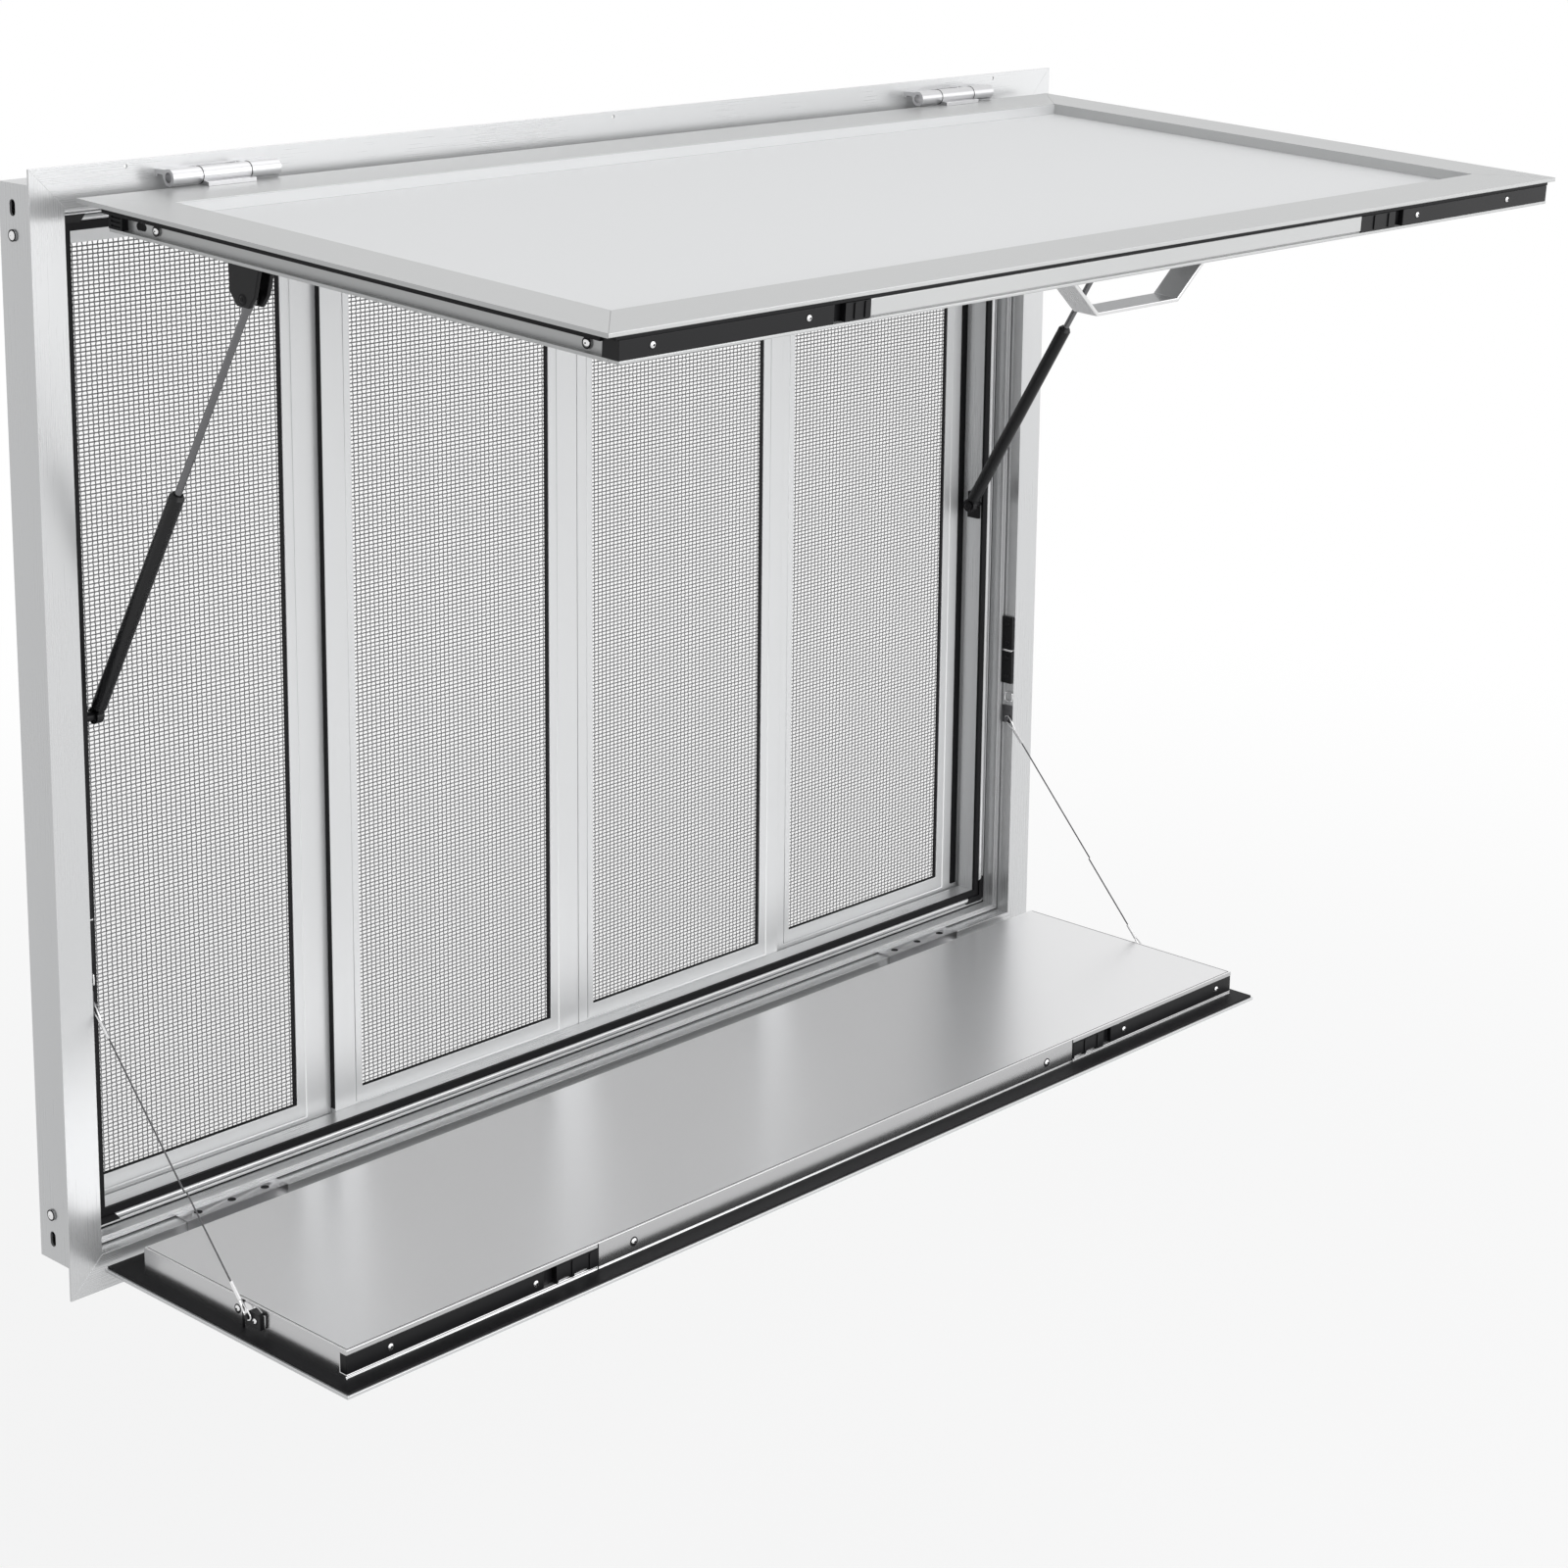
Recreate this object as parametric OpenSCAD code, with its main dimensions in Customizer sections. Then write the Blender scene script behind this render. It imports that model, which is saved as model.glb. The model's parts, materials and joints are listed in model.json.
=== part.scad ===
// Concession window: a wall frame with four insect screens, a hinged awning on
// two gas struts and a fold-down shelf on two stays. Millimetres, Z up.
// X runs along the wall, Y points into the wall, and the awning opens towards -Y.
// The origin lies on the back face of the bottom flange, where it meets the wall.

/* [Frame] */
// Width over the wall flange
frame_w = 1250; // [900:10:1600]
// Height over the wall flange
frame_h = 943; // [780:1:1100]
// Width of the flange face on each side
flange_face = 32; // [26:1:36]
// Part of the flange that lies on the wall outside the box
flange_lap = 16; // [12:1:20]
// Thickness of the flange and of the box walls
wall = 2; // [1.5:0.5:3]
// Depth of the box behind the flange
box_depth = 63; // [62:1:70]
// How far the box recess steps in from the flange edge to the reveal
reveal_k = 56; // [54:1:58]
// Distance of each hinge centre from the side edge of the flange
hinge_k = 173; // [140:1:240]

/* [Awning] */
// Angle that the open awning slopes down from level
awning_tilt = 3; // [0:0.5:6]
// Length of the awning from its hinge pin to its front edge
awning_reach = 596; // [480:1:700]
// Gap from the side edge of the flange to the awning lip
lip_k = 29.6; // [28:0.1:31]
// Width of the border on the awning face
border_w = 54; // [40:1:70]
// Total depth of the awning rails
rail_depth = 23; // [20:1:24]
// Depth of the recess in the awning face
recess_depth = 10; // [6:1:12]

/* [Struts] */
// Distance of the strut planes from the side edges of the flange
strut_k = 69; // [68:1:74]
// Depth of the lower strut pivot below the flange top edge
strut_drop = 458; // [430:1:480]
// Length of each strut cylinder
cylinder_len = 228; // [180:1:236]
// Radius of each strut cylinder
cylinder_r = 6.5; // [5:0.5:7]
// Radius of each strut rod
rod_r = 3; // [2:0.5:4]

/* [Shelf] */
// Depth of the shelf skin from back edge to front edge
shelf_skin_depth = 316; // [240:1:330]
// Height of the shelf box above the skin
shelf_box_h = 26.4; // [18:0.1:28]
// Depth of the shelf box
shelf_box_depth = 261; // [200:1:270]
// Gap from the side edge of the flange to the shelf box
shelf_box_k = 44; // [43:1:50]

/* [Stays] */
// Radius of each stay
stay_r = 0.75; // [0.6:0.05:1]
// Height of the upper stay pivot above the flange bottom edge
stay_high = 250; // [220:1:262]

/* [Screens] */
// Height of the bottom and top rails of each screen frame
screen_rail = 20.5; // [16:0.5:26]
// Thickness of each screen frame
screen_t = 5.5; // [4:0.5:6]
// Thickness of the screen mesh
mesh_t = 0.9; // [0.5:0.1:1.5]
// Width of the bars that stand for the mesh wires
mesh_bar = 4; // [2:0.5:8]
// Openings across each screen mesh
mesh_columns = 8; // [4:1:12]
// Openings up each screen mesh
mesh_rows = 12; // [6:1:12]

/* [Hidden] */
$fn = 48;
xl = -frame_w / 2;
fit = frame_w / 1250;
zb = -flange_lap / 2;
zt = zb + frame_h;
// distance of the screens' outer ends from the flange edge and the fronts of their tracks
screen_k = 50.5;
track_front = 48.4;
track_back = 55.1;
// awning hinge pin
ap_y = -19.5;
ap_z = zt - 15;
// shelf hinge pin
sp_y = -16.25;
sp_z = zb + 14.75;
// awning face, lip and rail bottom, measured up from the pin
a_top = -7.5;
a_lip = -11;
a_low = a_top - rail_depth;
a_back = 3;
a_x = -xl - lip_k;
// side block, back block and front block insets from the lip edge
side_in = 17.4;
back_in = 27;
ledge_t = 2.5;
// how far the gasket stands out, its height and its height along the front
seal_out = 8;
seal_h = 6;
seal_front_h = 3;
channel_w = 14;
// distance of the latch bars' ends from the side edges of the flange
bar_k = 41;
// awning strut pivot in the awning's own directions
strut_s = 170;
strut_n = -62.2;
// strut pivots in the world at rest
sb_y = ap_y - strut_s * cos(awning_tilt) - strut_n * sin(awning_tilt);
sb_z = ap_z - strut_s * sin(awning_tilt) + strut_n * cos(awning_tilt);
sl_y = 33;
sl_z = zt - strut_drop;
strut_len = sqrt((sb_y - sl_y) * (sb_y - sl_y) + (sb_z - sl_z) * (sb_z - sl_z));
strut_lean = atan2(sl_y - sb_y, sb_z - sl_z);
// shelf heights
skin_z0 = zb + 19;
skin_z1 = skin_z0 + 3;
box_top = skin_z1 + shelf_box_h;
bar_z0 = skin_z1 + 6;
bar_z1 = box_top - 4.5;
skin_y0 = -8;
skin_y1 = skin_y0 - shelf_skin_depth;
box_y0 = -44.5;
box_y1 = box_y0 - shelf_box_depth;
// stay pivots
st_ay = 3;
st_az = zb + stay_high;
st_by = -190;
st_bz = zb + 39;
st_ak = 35;
st_bk = 38.5;
// where the upper part of a stay ends, as a share of its length, and its plane there
st_share = 0.608;
st_gap = 1.75;
eps = 0.01;

// place across the front for a distance taken on the 1250 wide window
function fx(a) = xl + a * fit;

module block(x0, x1, y0, y1, z0, z1) {
    translate([x0, y0, z0]) cube([x1 - x0, y1 - y0, z1 - z0]);
}

module rod_x(x0, x1, y, z, r) {
    translate([x0, y, z]) rotate([0, 90, 0]) cylinder(h = x1 - x0, r = r);
}

module rect(k0, k1, y0, y1) {
    translate([k0, y0]) square([k1 - k0, y1 - y0]);
}

// frame members, drawn as a section of distance k from the flange edge and depth y
module frame_section() {
    // wall flange, outer box wall and return
    rect(0, flange_face, -wall, 0);
    rect(flange_lap, flange_lap + wall, -eps, box_depth);
    rect(flange_face - wall, flange_face, -wall, 17);
    // stepped face with its ridge, channel and bead seat
    rect(flange_face - wall, 38, 15, 17);
    rect(33.4, 36, 13, 15 + eps);
    rect(36, 38, 15, 31);
    rect(36, reveal_k, 29, 31);
    rect(42, 43.4, 25.5, 29 + eps);
    translate([46.4, 27.4]) circle(r = 2.6);
    rect(43.9, 48.9, 27.4, 29 + eps);
    // reveal, two tracks and the back of the box
    rect(reveal_k - wall, reveal_k, 29, 48);
    rect(48, reveal_k, 46.5, 48);
    rect(48, 50, 46.5, box_depth);
    rect(48, 54.5, 54.2, 54.8);
    rect(48, reveal_k + 2, 61, box_depth);
    rect(flange_lap, 50, 61, box_depth);
}

module mitre_prism(len) {
    translate([0, 80, 0]) rotate([90, 0, 0]) linear_extrude(height = 100)
        polygon([[-0.001, 0], [75, 75.001], [75, len - 75.001], [-0.001, len]]);
}

module jamb() {
    translate([xl, 0, zb]) difference() {
        intersection() {
            linear_extrude(height = frame_h) frame_section();
            mitre_prism(frame_h);
        }
        for (z = [35.5, frame_h - 35.5]) side_slot(z);
    }
    for (z = [57.5, frame_h - 57.5]) {
        translate([xl + flange_lap + eps, 45, zb + z]) rotate([0, -90, 0]) cylinder(h = 1.5, r = 4);
    }
}

module side_slot(z) {
    for (dz = [-3, 3]) {
        translate([flange_lap - 1, 45, z + dz]) rotate([0, 90, 0]) cylinder(h = 4, r = 3.75);
    }
    translate([flange_lap - 1, 45 - 3.75, z - 3]) cube([4, 7.5, 6]);
}

module left_jamb() color("silver") jamb();
module right_jamb() color("silver") mirror([1, 0, 0]) jamb();

module head() color("silver") difference() {
    translate([xl, 0, zt]) rotate([0, 90, 0]) intersection() {
        linear_extrude(height = frame_w) frame_section();
        mitre_prism(frame_w);
    }
    for (x = [xl + 91, 0, -xl - 91]) {
        translate([x, 1, zt - 5]) rotate([90, 0, 0]) cylinder(h = 4, r = 1.8);
    }
}

module sill() color("silver") translate([xl, 0, zb]) mirror([0, 0, 1]) rotate([0, 90, 0]) intersection() {
    linear_extrude(height = frame_w) frame_section();
    mitre_prism(frame_w);
}

module frame_seal() color([0.08, 0.08, 0.08]) difference() {
    block(xl + 49.2, -xl - 49.2, 26, 29, zb + 49.2, zt - 49.2);
    block(xl + reveal_k, -xl - reveal_k, 25, 30, zb + reveal_k, zt - reveal_k);
}

module left_keeper() color([0.1, 0.1, 0.1]) keeper_shape();
module right_keeper() color([0.1, 0.1, 0.1]) mirror([1, 0, 0]) keeper_shape();

module keeper_shape() {
    for (z = [289, 326]) {
        block(xl + flange_face, xl + 35.4, -1, 12.8, zb + z, zb + z + 36);
    }
    block(xl + flange_face, xl + 34.4, 0, 12.8, zb + 320, zb + 332);
}

// insect screens: both ends, both ends of the opening and front face of each
screen_z0 = zb + screen_k;
screen_z1 = zt - screen_k;
SCREENS = [[xl + screen_k, fx(326), xl + 74, fx(286), track_back],
    [fx(324), fx(626), fx(356), fx(590), track_front],
    [fx(626.6), fx(907), fx(646), fx(879), track_front],
    [fx(893), -xl - screen_k, fx(931), fx(1164), track_back]];

module screen_frame(i) {
    s = SCREENS[i];
    difference() {
        block(s[0], s[1], s[4], s[4] + screen_t, screen_z0, screen_z1);
        block(s[2], s[3], s[4] - 1, s[4] + screen_t + 1, screen_z0 + screen_rail, screen_z1 - screen_rail);
        // groove round the outer face, a little outside the opening
        difference() {
            block(s[2] - 8.6, s[3] + 10.6, s[4] - 1, s[4] + 0.8, screen_z0 + 6.4, screen_z1 - 6.4);
            block(s[2] - 7.2, s[3] + 9.2, s[4] - 2, s[4] + 2, screen_z0 + 7.8, screen_z1 - 7.8);
        }
    }
}

// the mesh as a plain grid of wires, far coarser than the real one
module screen_mesh(i) {
    s = SCREENS[i];
    z0 = screen_z0 + screen_rail;
    pitch_x = (s[3] - s[2]) / mesh_columns;
    pitch_z = (screen_z1 - screen_rail - z0) / mesh_rows;
    difference() {
        block(s[2], s[3], s[4] + 2.2, s[4] + 2.2 + mesh_t, z0, screen_z1 - screen_rail);
        for (c = [0:mesh_columns - 1]) {
            for (r = [0:mesh_rows - 1]) {
                block(s[2] + c * pitch_x + mesh_bar / 2, s[2] + (c + 1) * pitch_x - mesh_bar / 2,
                    s[4] + 2, s[4] + 2.4 + mesh_t,
                    z0 + r * pitch_z + mesh_bar / 2, z0 + (r + 1) * pitch_z - mesh_bar / 2);
            }
        }
    }
}

module screen_frame_1() color("silver") screen_frame(0);
module screen_frame_2() color("silver") screen_frame(1);
module screen_frame_3() color("silver") screen_frame(2);
module screen_frame_4() color("silver") screen_frame(3);
module screen_mesh_1() color("gray") screen_mesh(0);
module screen_mesh_2() color("gray") screen_mesh(1);
module screen_mesh_3() color("gray") screen_mesh(2);
module screen_mesh_4() color("gray") screen_mesh(3);

// top hinges, drawn for the left one
hk0 = hinge_k - 54;
hk1 = hinge_k + 54;

module top_hinge_wall_leaf() {
    difference() {
        for (k = [[hk0, hk0 + 29.5], [hk1 - 29.5, hk1]]) {
            rod_x(xl + k[0], xl + k[1], ap_y, ap_z, 7);
            block(xl + k[0], xl + k[1], ap_y, -wall, ap_z + 2, ap_z + 6);
        }
        // open ends of the barrel
        for (k = [hk0 - 1, hk1 - 6]) rod_x(xl + k, xl + k + 7, ap_y, ap_z, 4.2);
    }
    rod_x(xl + hk0 + 6, xl + hk1 - 6, ap_y, ap_z, 3);
    block(xl + hk0, xl + hk1, -wall - 2.5, -wall, ap_z, ap_z + 6);
}

module top_hinge_awning_leaf() {
    difference() {
        union() {
            rod_x(xl + hk0 + 30, xl + hk1 - 30, 0, 0, 7);
            block(xl + hk0 + 30, xl + hk1 - 30, -13, 0, a_top, -4);
        }
        rod_x(xl + hk0 - 1, xl + hk1 + 1, 0, 0, 3.05);
    }
}

module top_hinge_wall_leaf_left() color("silver") top_hinge_wall_leaf();
module top_hinge_wall_leaf_right() color("silver") mirror([1, 0, 0]) top_hinge_wall_leaf();
module top_hinge_awning_leaf_left() color("silver") on_awning() top_hinge_awning_leaf();
module top_hinge_awning_leaf_right() color("silver") on_awning() mirror([1, 0, 0]) top_hinge_awning_leaf();

// shelf hinges, drawn for the left one
module shelf_hinge_wall_leaf() {
    difference() {
        union() {
            for (k = [[hk0, hk0 + 20], [hk1 - 20, hk1]]) {
                rod_x(xl + k[0], xl + k[1], sp_y, sp_z, 4);
                block(xl + k[0], xl + k[1], sp_y, -wall, sp_z - 4, sp_z - 1);
            }
            rod_x(xl + hk0 + eps, xl + hk1 - eps, sp_y, sp_z, 2);
            block(xl + hk0, xl + hk1, -wall - 2, -wall, sp_z - 4, zb + flange_face + 1.6);
            block(xl + hk0, xl + hk1, -wall - 2, 12.8, zb + flange_face, zb + flange_face + 1.6);
        }
        for (k = [-36, 0, 36]) {
            translate([xl + hinge_k + k, 5.5, zb + flange_face - 1]) cylinder(h = 5, r = 2.2);
            translate([xl + hinge_k + k, 5.5, zb + flange_face + 0.2]) cylinder(h = 1.5, r1 = 2.2, r2 = 4.6);
        }
    }
}

module shelf_hinge_shelf_leaf() {
    difference() {
        union() {
            rod_x(xl + hk0 + 20.5, xl + hk1 - 20.5, sp_y, sp_z, 4);
            block(xl + hk0 + 20.5, xl + hk1 - 20.5, sp_y - 10, sp_y, skin_z0 - 2, skin_z0);
            block(xl + hk0, xl + hk1, sp_y - 34, sp_y - 5, skin_z0 - 2, skin_z0);
        }
        rod_x(xl + hk0 - 1, xl + hk1 + 1, sp_y, sp_z, 2.05);
    }
}

module shelf_hinge_wall_leaf_left() color("silver") shelf_hinge_wall_leaf();
module shelf_hinge_wall_leaf_right() color("silver") mirror([1, 0, 0]) shelf_hinge_wall_leaf();
module shelf_hinge_shelf_leaf_left() color("silver") shelf_hinge_shelf_leaf();
module shelf_hinge_shelf_leaf_right() color("silver") mirror([1, 0, 0]) shelf_hinge_shelf_leaf();

// awning, drawn level with its pin at the origin and then laid at its slope
module on_awning() translate([0, ap_y, ap_z]) rotate([awning_tilt, 0, 0]) children();

// section of a rail: distance in from the lip edge and height
module rail_section(inset, ledge) {
    rect(0, border_w, a_lip, a_top);
    rect(inset, border_w, a_low, a_lip + eps);
    rect(inset - ledge, inset + eps, a_low, a_low + ledge_t);
}

// channel under each side rail, in which the strut forks are fixed
module side_section() difference() {
    rail_section(side_in, 6);
    rect(strut_k - lip_k - channel_w / 2, strut_k - lip_k + channel_w / 2, a_low - 1, a_low + 10);
}

aw_len = awning_reach - a_back;

module awning_side_rail() on_awning() {
    difference() {
        intersection() {
            translate([-a_x, -a_back, 0]) rotate([90, 0, 0]) linear_extrude(height = aw_len)
                side_section();
            translate([-a_x, -a_back, -50]) linear_extrude(height = 60)
                polygon([[0, 0], [border_w + 1, -border_w - 1], [border_w + 1, -aw_len + border_w + 1],
                    [0, -aw_len]]);
        }
        // room for the gasket behind the back rail
        block(-a_x - 1, -a_x + border_w + 2, -a_back - back_in, -a_back + 1, a_low - 1, a_lip - eps);
        for (s = [60, aw_len - 16]) {
            for (ds = [-3.5, 3.5]) {
                translate([-a_x + side_in - 1, -a_back - s + ds, -22.5]) rotate([0, 90, 0])
                    cylinder(h = 3, r = 3);
            }
            block(-a_x + side_in - 1, -a_x + side_in + 2, -a_back - s - 3.5, -a_back - s + 3.5,
                -25.5, -19.5);
        }
    }
    for (s = [80, aw_len - 37]) {
        translate([-a_x + side_in + eps, -a_back - s, -22.5]) rotate([0, -90, 0]) cylinder(h = 1.4, r = 3.4);
    }
}

module awning_left_rail() color("silver") awning_side_rail();
module awning_right_rail() color("silver") mirror([1, 0, 0]) awning_side_rail();

module awning_back_rail() color("silver") on_awning() intersection() {
    translate([-a_x, -a_back, 0]) rotate([90, 0, 90]) linear_extrude(height = 2 * a_x)
        mirror([1, 0, 0]) rail_section(back_in, 4);
    translate([-a_x, -a_back, -50]) linear_extrude(height = 60)
        polygon([[0, 0], [2 * a_x, 0], [2 * a_x - border_w - 1, -border_w - 1],
            [border_w + 1, -border_w - 1]]);
}

module awning_front_rail() color("silver") on_awning() {
    intersection() {
        union() {
            translate([-a_x, -awning_reach, 0]) rotate([90, 0, 90]) linear_extrude(height = 2 * a_x)
                front_section();
            // ledge below the latch bars
            block(xl + bar_k, -xl - bar_k, -awning_reach + 0.6, -awning_reach + 18, a_low, a_low + ledge_t);
        }
        translate([-a_x, -awning_reach, -50]) linear_extrude(height = 60)
            polygon([[0, 0], [border_w + 1, border_w + 1], [2 * a_x - border_w - 1, border_w + 1],
                [2 * a_x, 0]]);
    }
    // strip between the two latch bars, with a groove
    difference() {
        block(fx(291), fx(911.5), -awning_reach + 1.2, -awning_reach + 18, a_low, a_lip - seal_front_h);
        block(fx(290), fx(913), -awning_reach, -awning_reach + 2.4, a_low + ledge_t, a_low + ledge_t + 1.2);
    }
}

module front_section() {
    rect(0, border_w, a_lip, a_top);
    rect(side_in, border_w, a_low, a_lip + eps);
}

module awning_panel() color([0.85, 0.86, 0.86]) on_awning()
    block(-a_x + border_w, a_x - border_w, -awning_reach + border_w, -a_back - border_w,
        a_top - recess_depth - 3, a_top - recess_depth);

module awning_gasket() color([0.06, 0.06, 0.06]) on_awning() {
    seal_x = a_x - side_in + seal_out;
    front = -awning_reach + side_in;
    difference() {
        block(-seal_x, seal_x, front - eps, -a_back - back_in + seal_out, a_lip - seal_h, a_lip);
        block(-a_x + side_in, a_x - side_in, front - 1, -a_back - back_in, a_lip - seal_h - 1, a_lip + 1);
    }
    block(-seal_x, seal_x, -awning_reach + 2, front, a_lip - seal_front_h, a_lip);
    for (m = [0, 1]) mirror([m, 0, 0]) channel_cap();
}

// ribbed cap on the back end of each side channel
module channel_cap() difference() {
    block(-a_x + side_in - 6, -a_x + side_in, -a_back - back_in - 16, -a_back - back_in + 1,
        a_low + ledge_t, a_lip);
    for (z = [2, 5.5, 9]) {
        block(-a_x + side_in - 7, -a_x + side_in - 4.8, -a_back - back_in - 14, -a_back - back_in - 2,
            a_low + ledge_t + z, a_low + ledge_t + z + 1.6);
    }
}

// front latch bar, with a face that leaves room for its slider
module latch_bar(x0, x1, face) {
    block(x0, x1, -awning_reach + 7, -awning_reach + side_in, a_low + ledge_t, a_lip - seal_front_h);
    block(face[0], face[1], -awning_reach + 1.2, -awning_reach + 8, a_low + ledge_t, a_lip - seal_front_h);
}

module awning_latch_bar_left() color([0.07, 0.07, 0.07]) on_awning()
    latch_bar(xl + bar_k, fx(291), [xl + bar_k, fx(252)]);
module awning_latch_bar_right() color([0.07, 0.07, 0.07]) on_awning()
    latch_bar(fx(911.5), -xl - bar_k, [fx(975), -xl - bar_k]);

module slider(x0, x1, y, z0, z1) {
    block(x0, x1, y, y + 5.6, z0, z1);
    block(x0 + 4, x0 + 9, y - 1, y + 1, z0 + 2, z1 - 2);
    block(x1 - 9, x1 - 4, y - 1, y + 1, z0 + 2, z1 - 2);
}

module awning_latch_slider_left() color([0.1, 0.1, 0.1]) on_awning()
    slider(fx(264), fx(290.6), -awning_reach + 1.2, a_low + ledge_t + 0.3, a_lip - seal_front_h - 0.3);
module awning_latch_slider_right() color([0.1, 0.1, 0.1]) on_awning()
    slider(fx(912), fx(963), -awning_reach + 1.2, a_low + ledge_t + 0.3, a_lip - seal_front_h - 0.3);

module pull_handle() color("silver") on_awning()
    translate([0, -awning_reach + 26, a_low]) rotate([90, 0, 0]) linear_extrude(height = 24, center = true)
        polygon([[-106, 0], [-84, 0], [-51, -29], [51, -29], [84, 0], [106, 0],
            [106, -3], [85.1, -3], [52.1, -32], [-52.1, -32], [-85.1, -3], [-106, -3]]);

// struts, drawn for the left one
module strut_fork() on_awning() {
    for (dk = [[-8, -4.2], [4.2, 8]]) {
        translate([xl + strut_k + dk[0], -strut_s, strut_n]) rotate([90, 0, 90])
            linear_extrude(height = dk[1] - dk[0])
            polygon([[-20, 31.7], [19, 31.7], [16, 4], [7, -6], [-7, -6], [-14, 4]]);
    }
    block(xl + strut_k - 8, xl + strut_k + 8, -strut_s - 20, -strut_s + 12, a_low - 6, a_low);
}

module strut_fork_left() color([0.08, 0.08, 0.08]) strut_fork();
module strut_fork_right() color([0.08, 0.08, 0.08]) mirror([1, 0, 0]) strut_fork();

module strut_base() {
    block(xl + reveal_k, xl + reveal_k + 3, sl_y - 3, sl_y + 12, sl_z - 16, sl_z + 12);
    rod_x(xl + reveal_k, xl + strut_k + 4, sl_y, sl_z, 4);
    rod_x(xl + strut_k + 3.6, xl + strut_k + 5.4, sl_y, sl_z, 5);
}

module strut_base_left() color([0.1, 0.1, 0.1]) strut_base();
module strut_base_right() color([0.1, 0.1, 0.1]) mirror([1, 0, 0]) strut_base();

module along_strut() translate([xl + strut_k, sl_y, sl_z]) rotate([strut_lean, 0, 0]) children();

module strut_cylinder() along_strut() difference() {
    union() {
        translate([0, 0, 10]) cylinder(h = cylinder_len - 3, r = cylinder_r);
        translate([0, 0, 7 + cylinder_len]) cylinder(h = 3, r1 = cylinder_r, r2 = cylinder_r - 2);
        translate([-3, 0, 0]) rotate([0, 90, 0]) cylinder(h = 6, r = 7);
        translate([-3, -5, 0]) cube([6, 10, 14]);
    }
    translate([-4, 0, 0]) rotate([0, 90, 0]) cylinder(h = 8, r = 4.05);
    translate([0, 0, 40]) cylinder(h = cylinder_len, r = rod_r + 0.05);
}

module strut_rod() along_strut() {
    translate([0, 0, 203]) cylinder(h = strut_len - 203, r = rod_r);
    translate([0, 0, strut_len - 12]) cylinder(h = 10, r = 4);
    translate([-3, 0, strut_len]) rotate([0, 90, 0]) cylinder(h = 6, r = 5.5);
}

module strut_cylinder_left() color([0.05, 0.05, 0.05]) strut_cylinder();
module strut_cylinder_right() color([0.05, 0.05, 0.05]) mirror([1, 0, 0]) strut_cylinder();
module strut_rod_left() color([0.6, 0.6, 0.6]) strut_rod();
module strut_rod_right() color([0.6, 0.6, 0.6]) mirror([1, 0, 0]) strut_rod();

// shelf
// room for the fixed hinge leaves when the shelf is up
module shelf_notches(y) {
    for (m = [0, 1]) mirror([m, 0, 0]) block(xl + hk0 - 5, xl + hk1 + 5, y, 0, 0, 30);
}

module shelf_skin() color("silver") difference() {
    block(-a_x, a_x, skin_y1, skin_y0, skin_z0, skin_z1);
    shelf_notches(-21);
}

module shelf_gasket() color([0.06, 0.06, 0.06]) difference() {
    block(-a_x + 2, a_x - 2, skin_y1 + 1.5, skin_y0 - 2, skin_z1, skin_z1 + 2);
    block(xl + shelf_box_k, -xl - shelf_box_k, box_y1, box_y0, skin_z1 - 1, skin_z1 + 3);
    shelf_notches(sp_y - 24);
}

module shelf_box() color([0.75, 0.75, 0.76]) difference() {
    block(xl + shelf_box_k, -xl - shelf_box_k, box_y1, box_y0, skin_z1, box_top);
    block(xl + shelf_box_k + 2, -xl - shelf_box_k - 2, box_y1 + 10, box_y0 - 2, skin_z1 - 1, box_top - 2);
    for (x = [[xl + shelf_box_k - 1, fx(314)], [fx(947.5), -xl - shelf_box_k + 1]]) {
        block(x[0], x[1], box_y1 - 1, box_y1 + 8, bar_z0, bar_z1);
    }
    // groove of the channel below the bars
    block(xl, -xl, box_y1 - 1, box_y1 + 1.2, skin_z1 + 3.4, skin_z1 + 4.6);
}

module shelf_latch_bar_left() color([0.07, 0.07, 0.07])
    shelf_bar(xl + shelf_box_k, fx(314), [xl + shelf_box_k, fx(253)]);
module shelf_latch_bar_right() color([0.07, 0.07, 0.07])
    shelf_bar(fx(947.5), -xl - shelf_box_k, [fx(1008), -xl - shelf_box_k]);

module shelf_bar(x0, x1, face) {
    block(x0, x1, box_y1 + 5, box_y1 + 8, bar_z0, bar_z1);
    block(face[0], face[1], box_y1 + 0.4, box_y1 + 5.5, bar_z0, bar_z1);
}

module shelf_latch_slider_left() color([0.1, 0.1, 0.1])
    slider(fx(266), fx(313.6), box_y1 - 0.8, bar_z0 + 0.3, bar_z1 - 0.3);
module shelf_latch_slider_right() color([0.1, 0.1, 0.1])
    slider(fx(948), fx(995), box_y1 - 0.8, bar_z0 + 0.3, bar_z1 - 0.3);

// stays, drawn for the left one; each is two straight parts that end side by side
st_len = norm([st_by - st_ay, st_bz - st_az]);
st_lean = atan2(st_ay - st_by, st_az - st_bz);
st_up = st_len * st_share;
st_low = st_len - st_up;
st_mid = (st_ak + st_bk) / 2;

module stay_bracket() {
    block(xl + flange_face, xl + flange_face + 1.6, st_ay - 4, st_ay + 8, st_az - 5, st_az + 14);
    rod_x(xl + flange_face + 1, xl + st_ak + 1.6, st_ay, st_az, 1.5);
    rod_x(xl + st_ak + 1.2, xl + st_ak + 2.2, st_ay, st_az, 2.6);
}

module stay_catch() {
    block(xl + st_bk + 1.5, xl + shelf_box_k, st_by - 14, st_by + 12, st_bz - 12, st_bz + 2);
    rod_x(xl + st_bk - 1.6, xl + st_bk + 2, st_by, st_bz, 1.5);
    rod_x(xl + st_bk - 2.4, xl + st_bk - 1.4, st_by, st_bz, 2.2);
}

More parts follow.
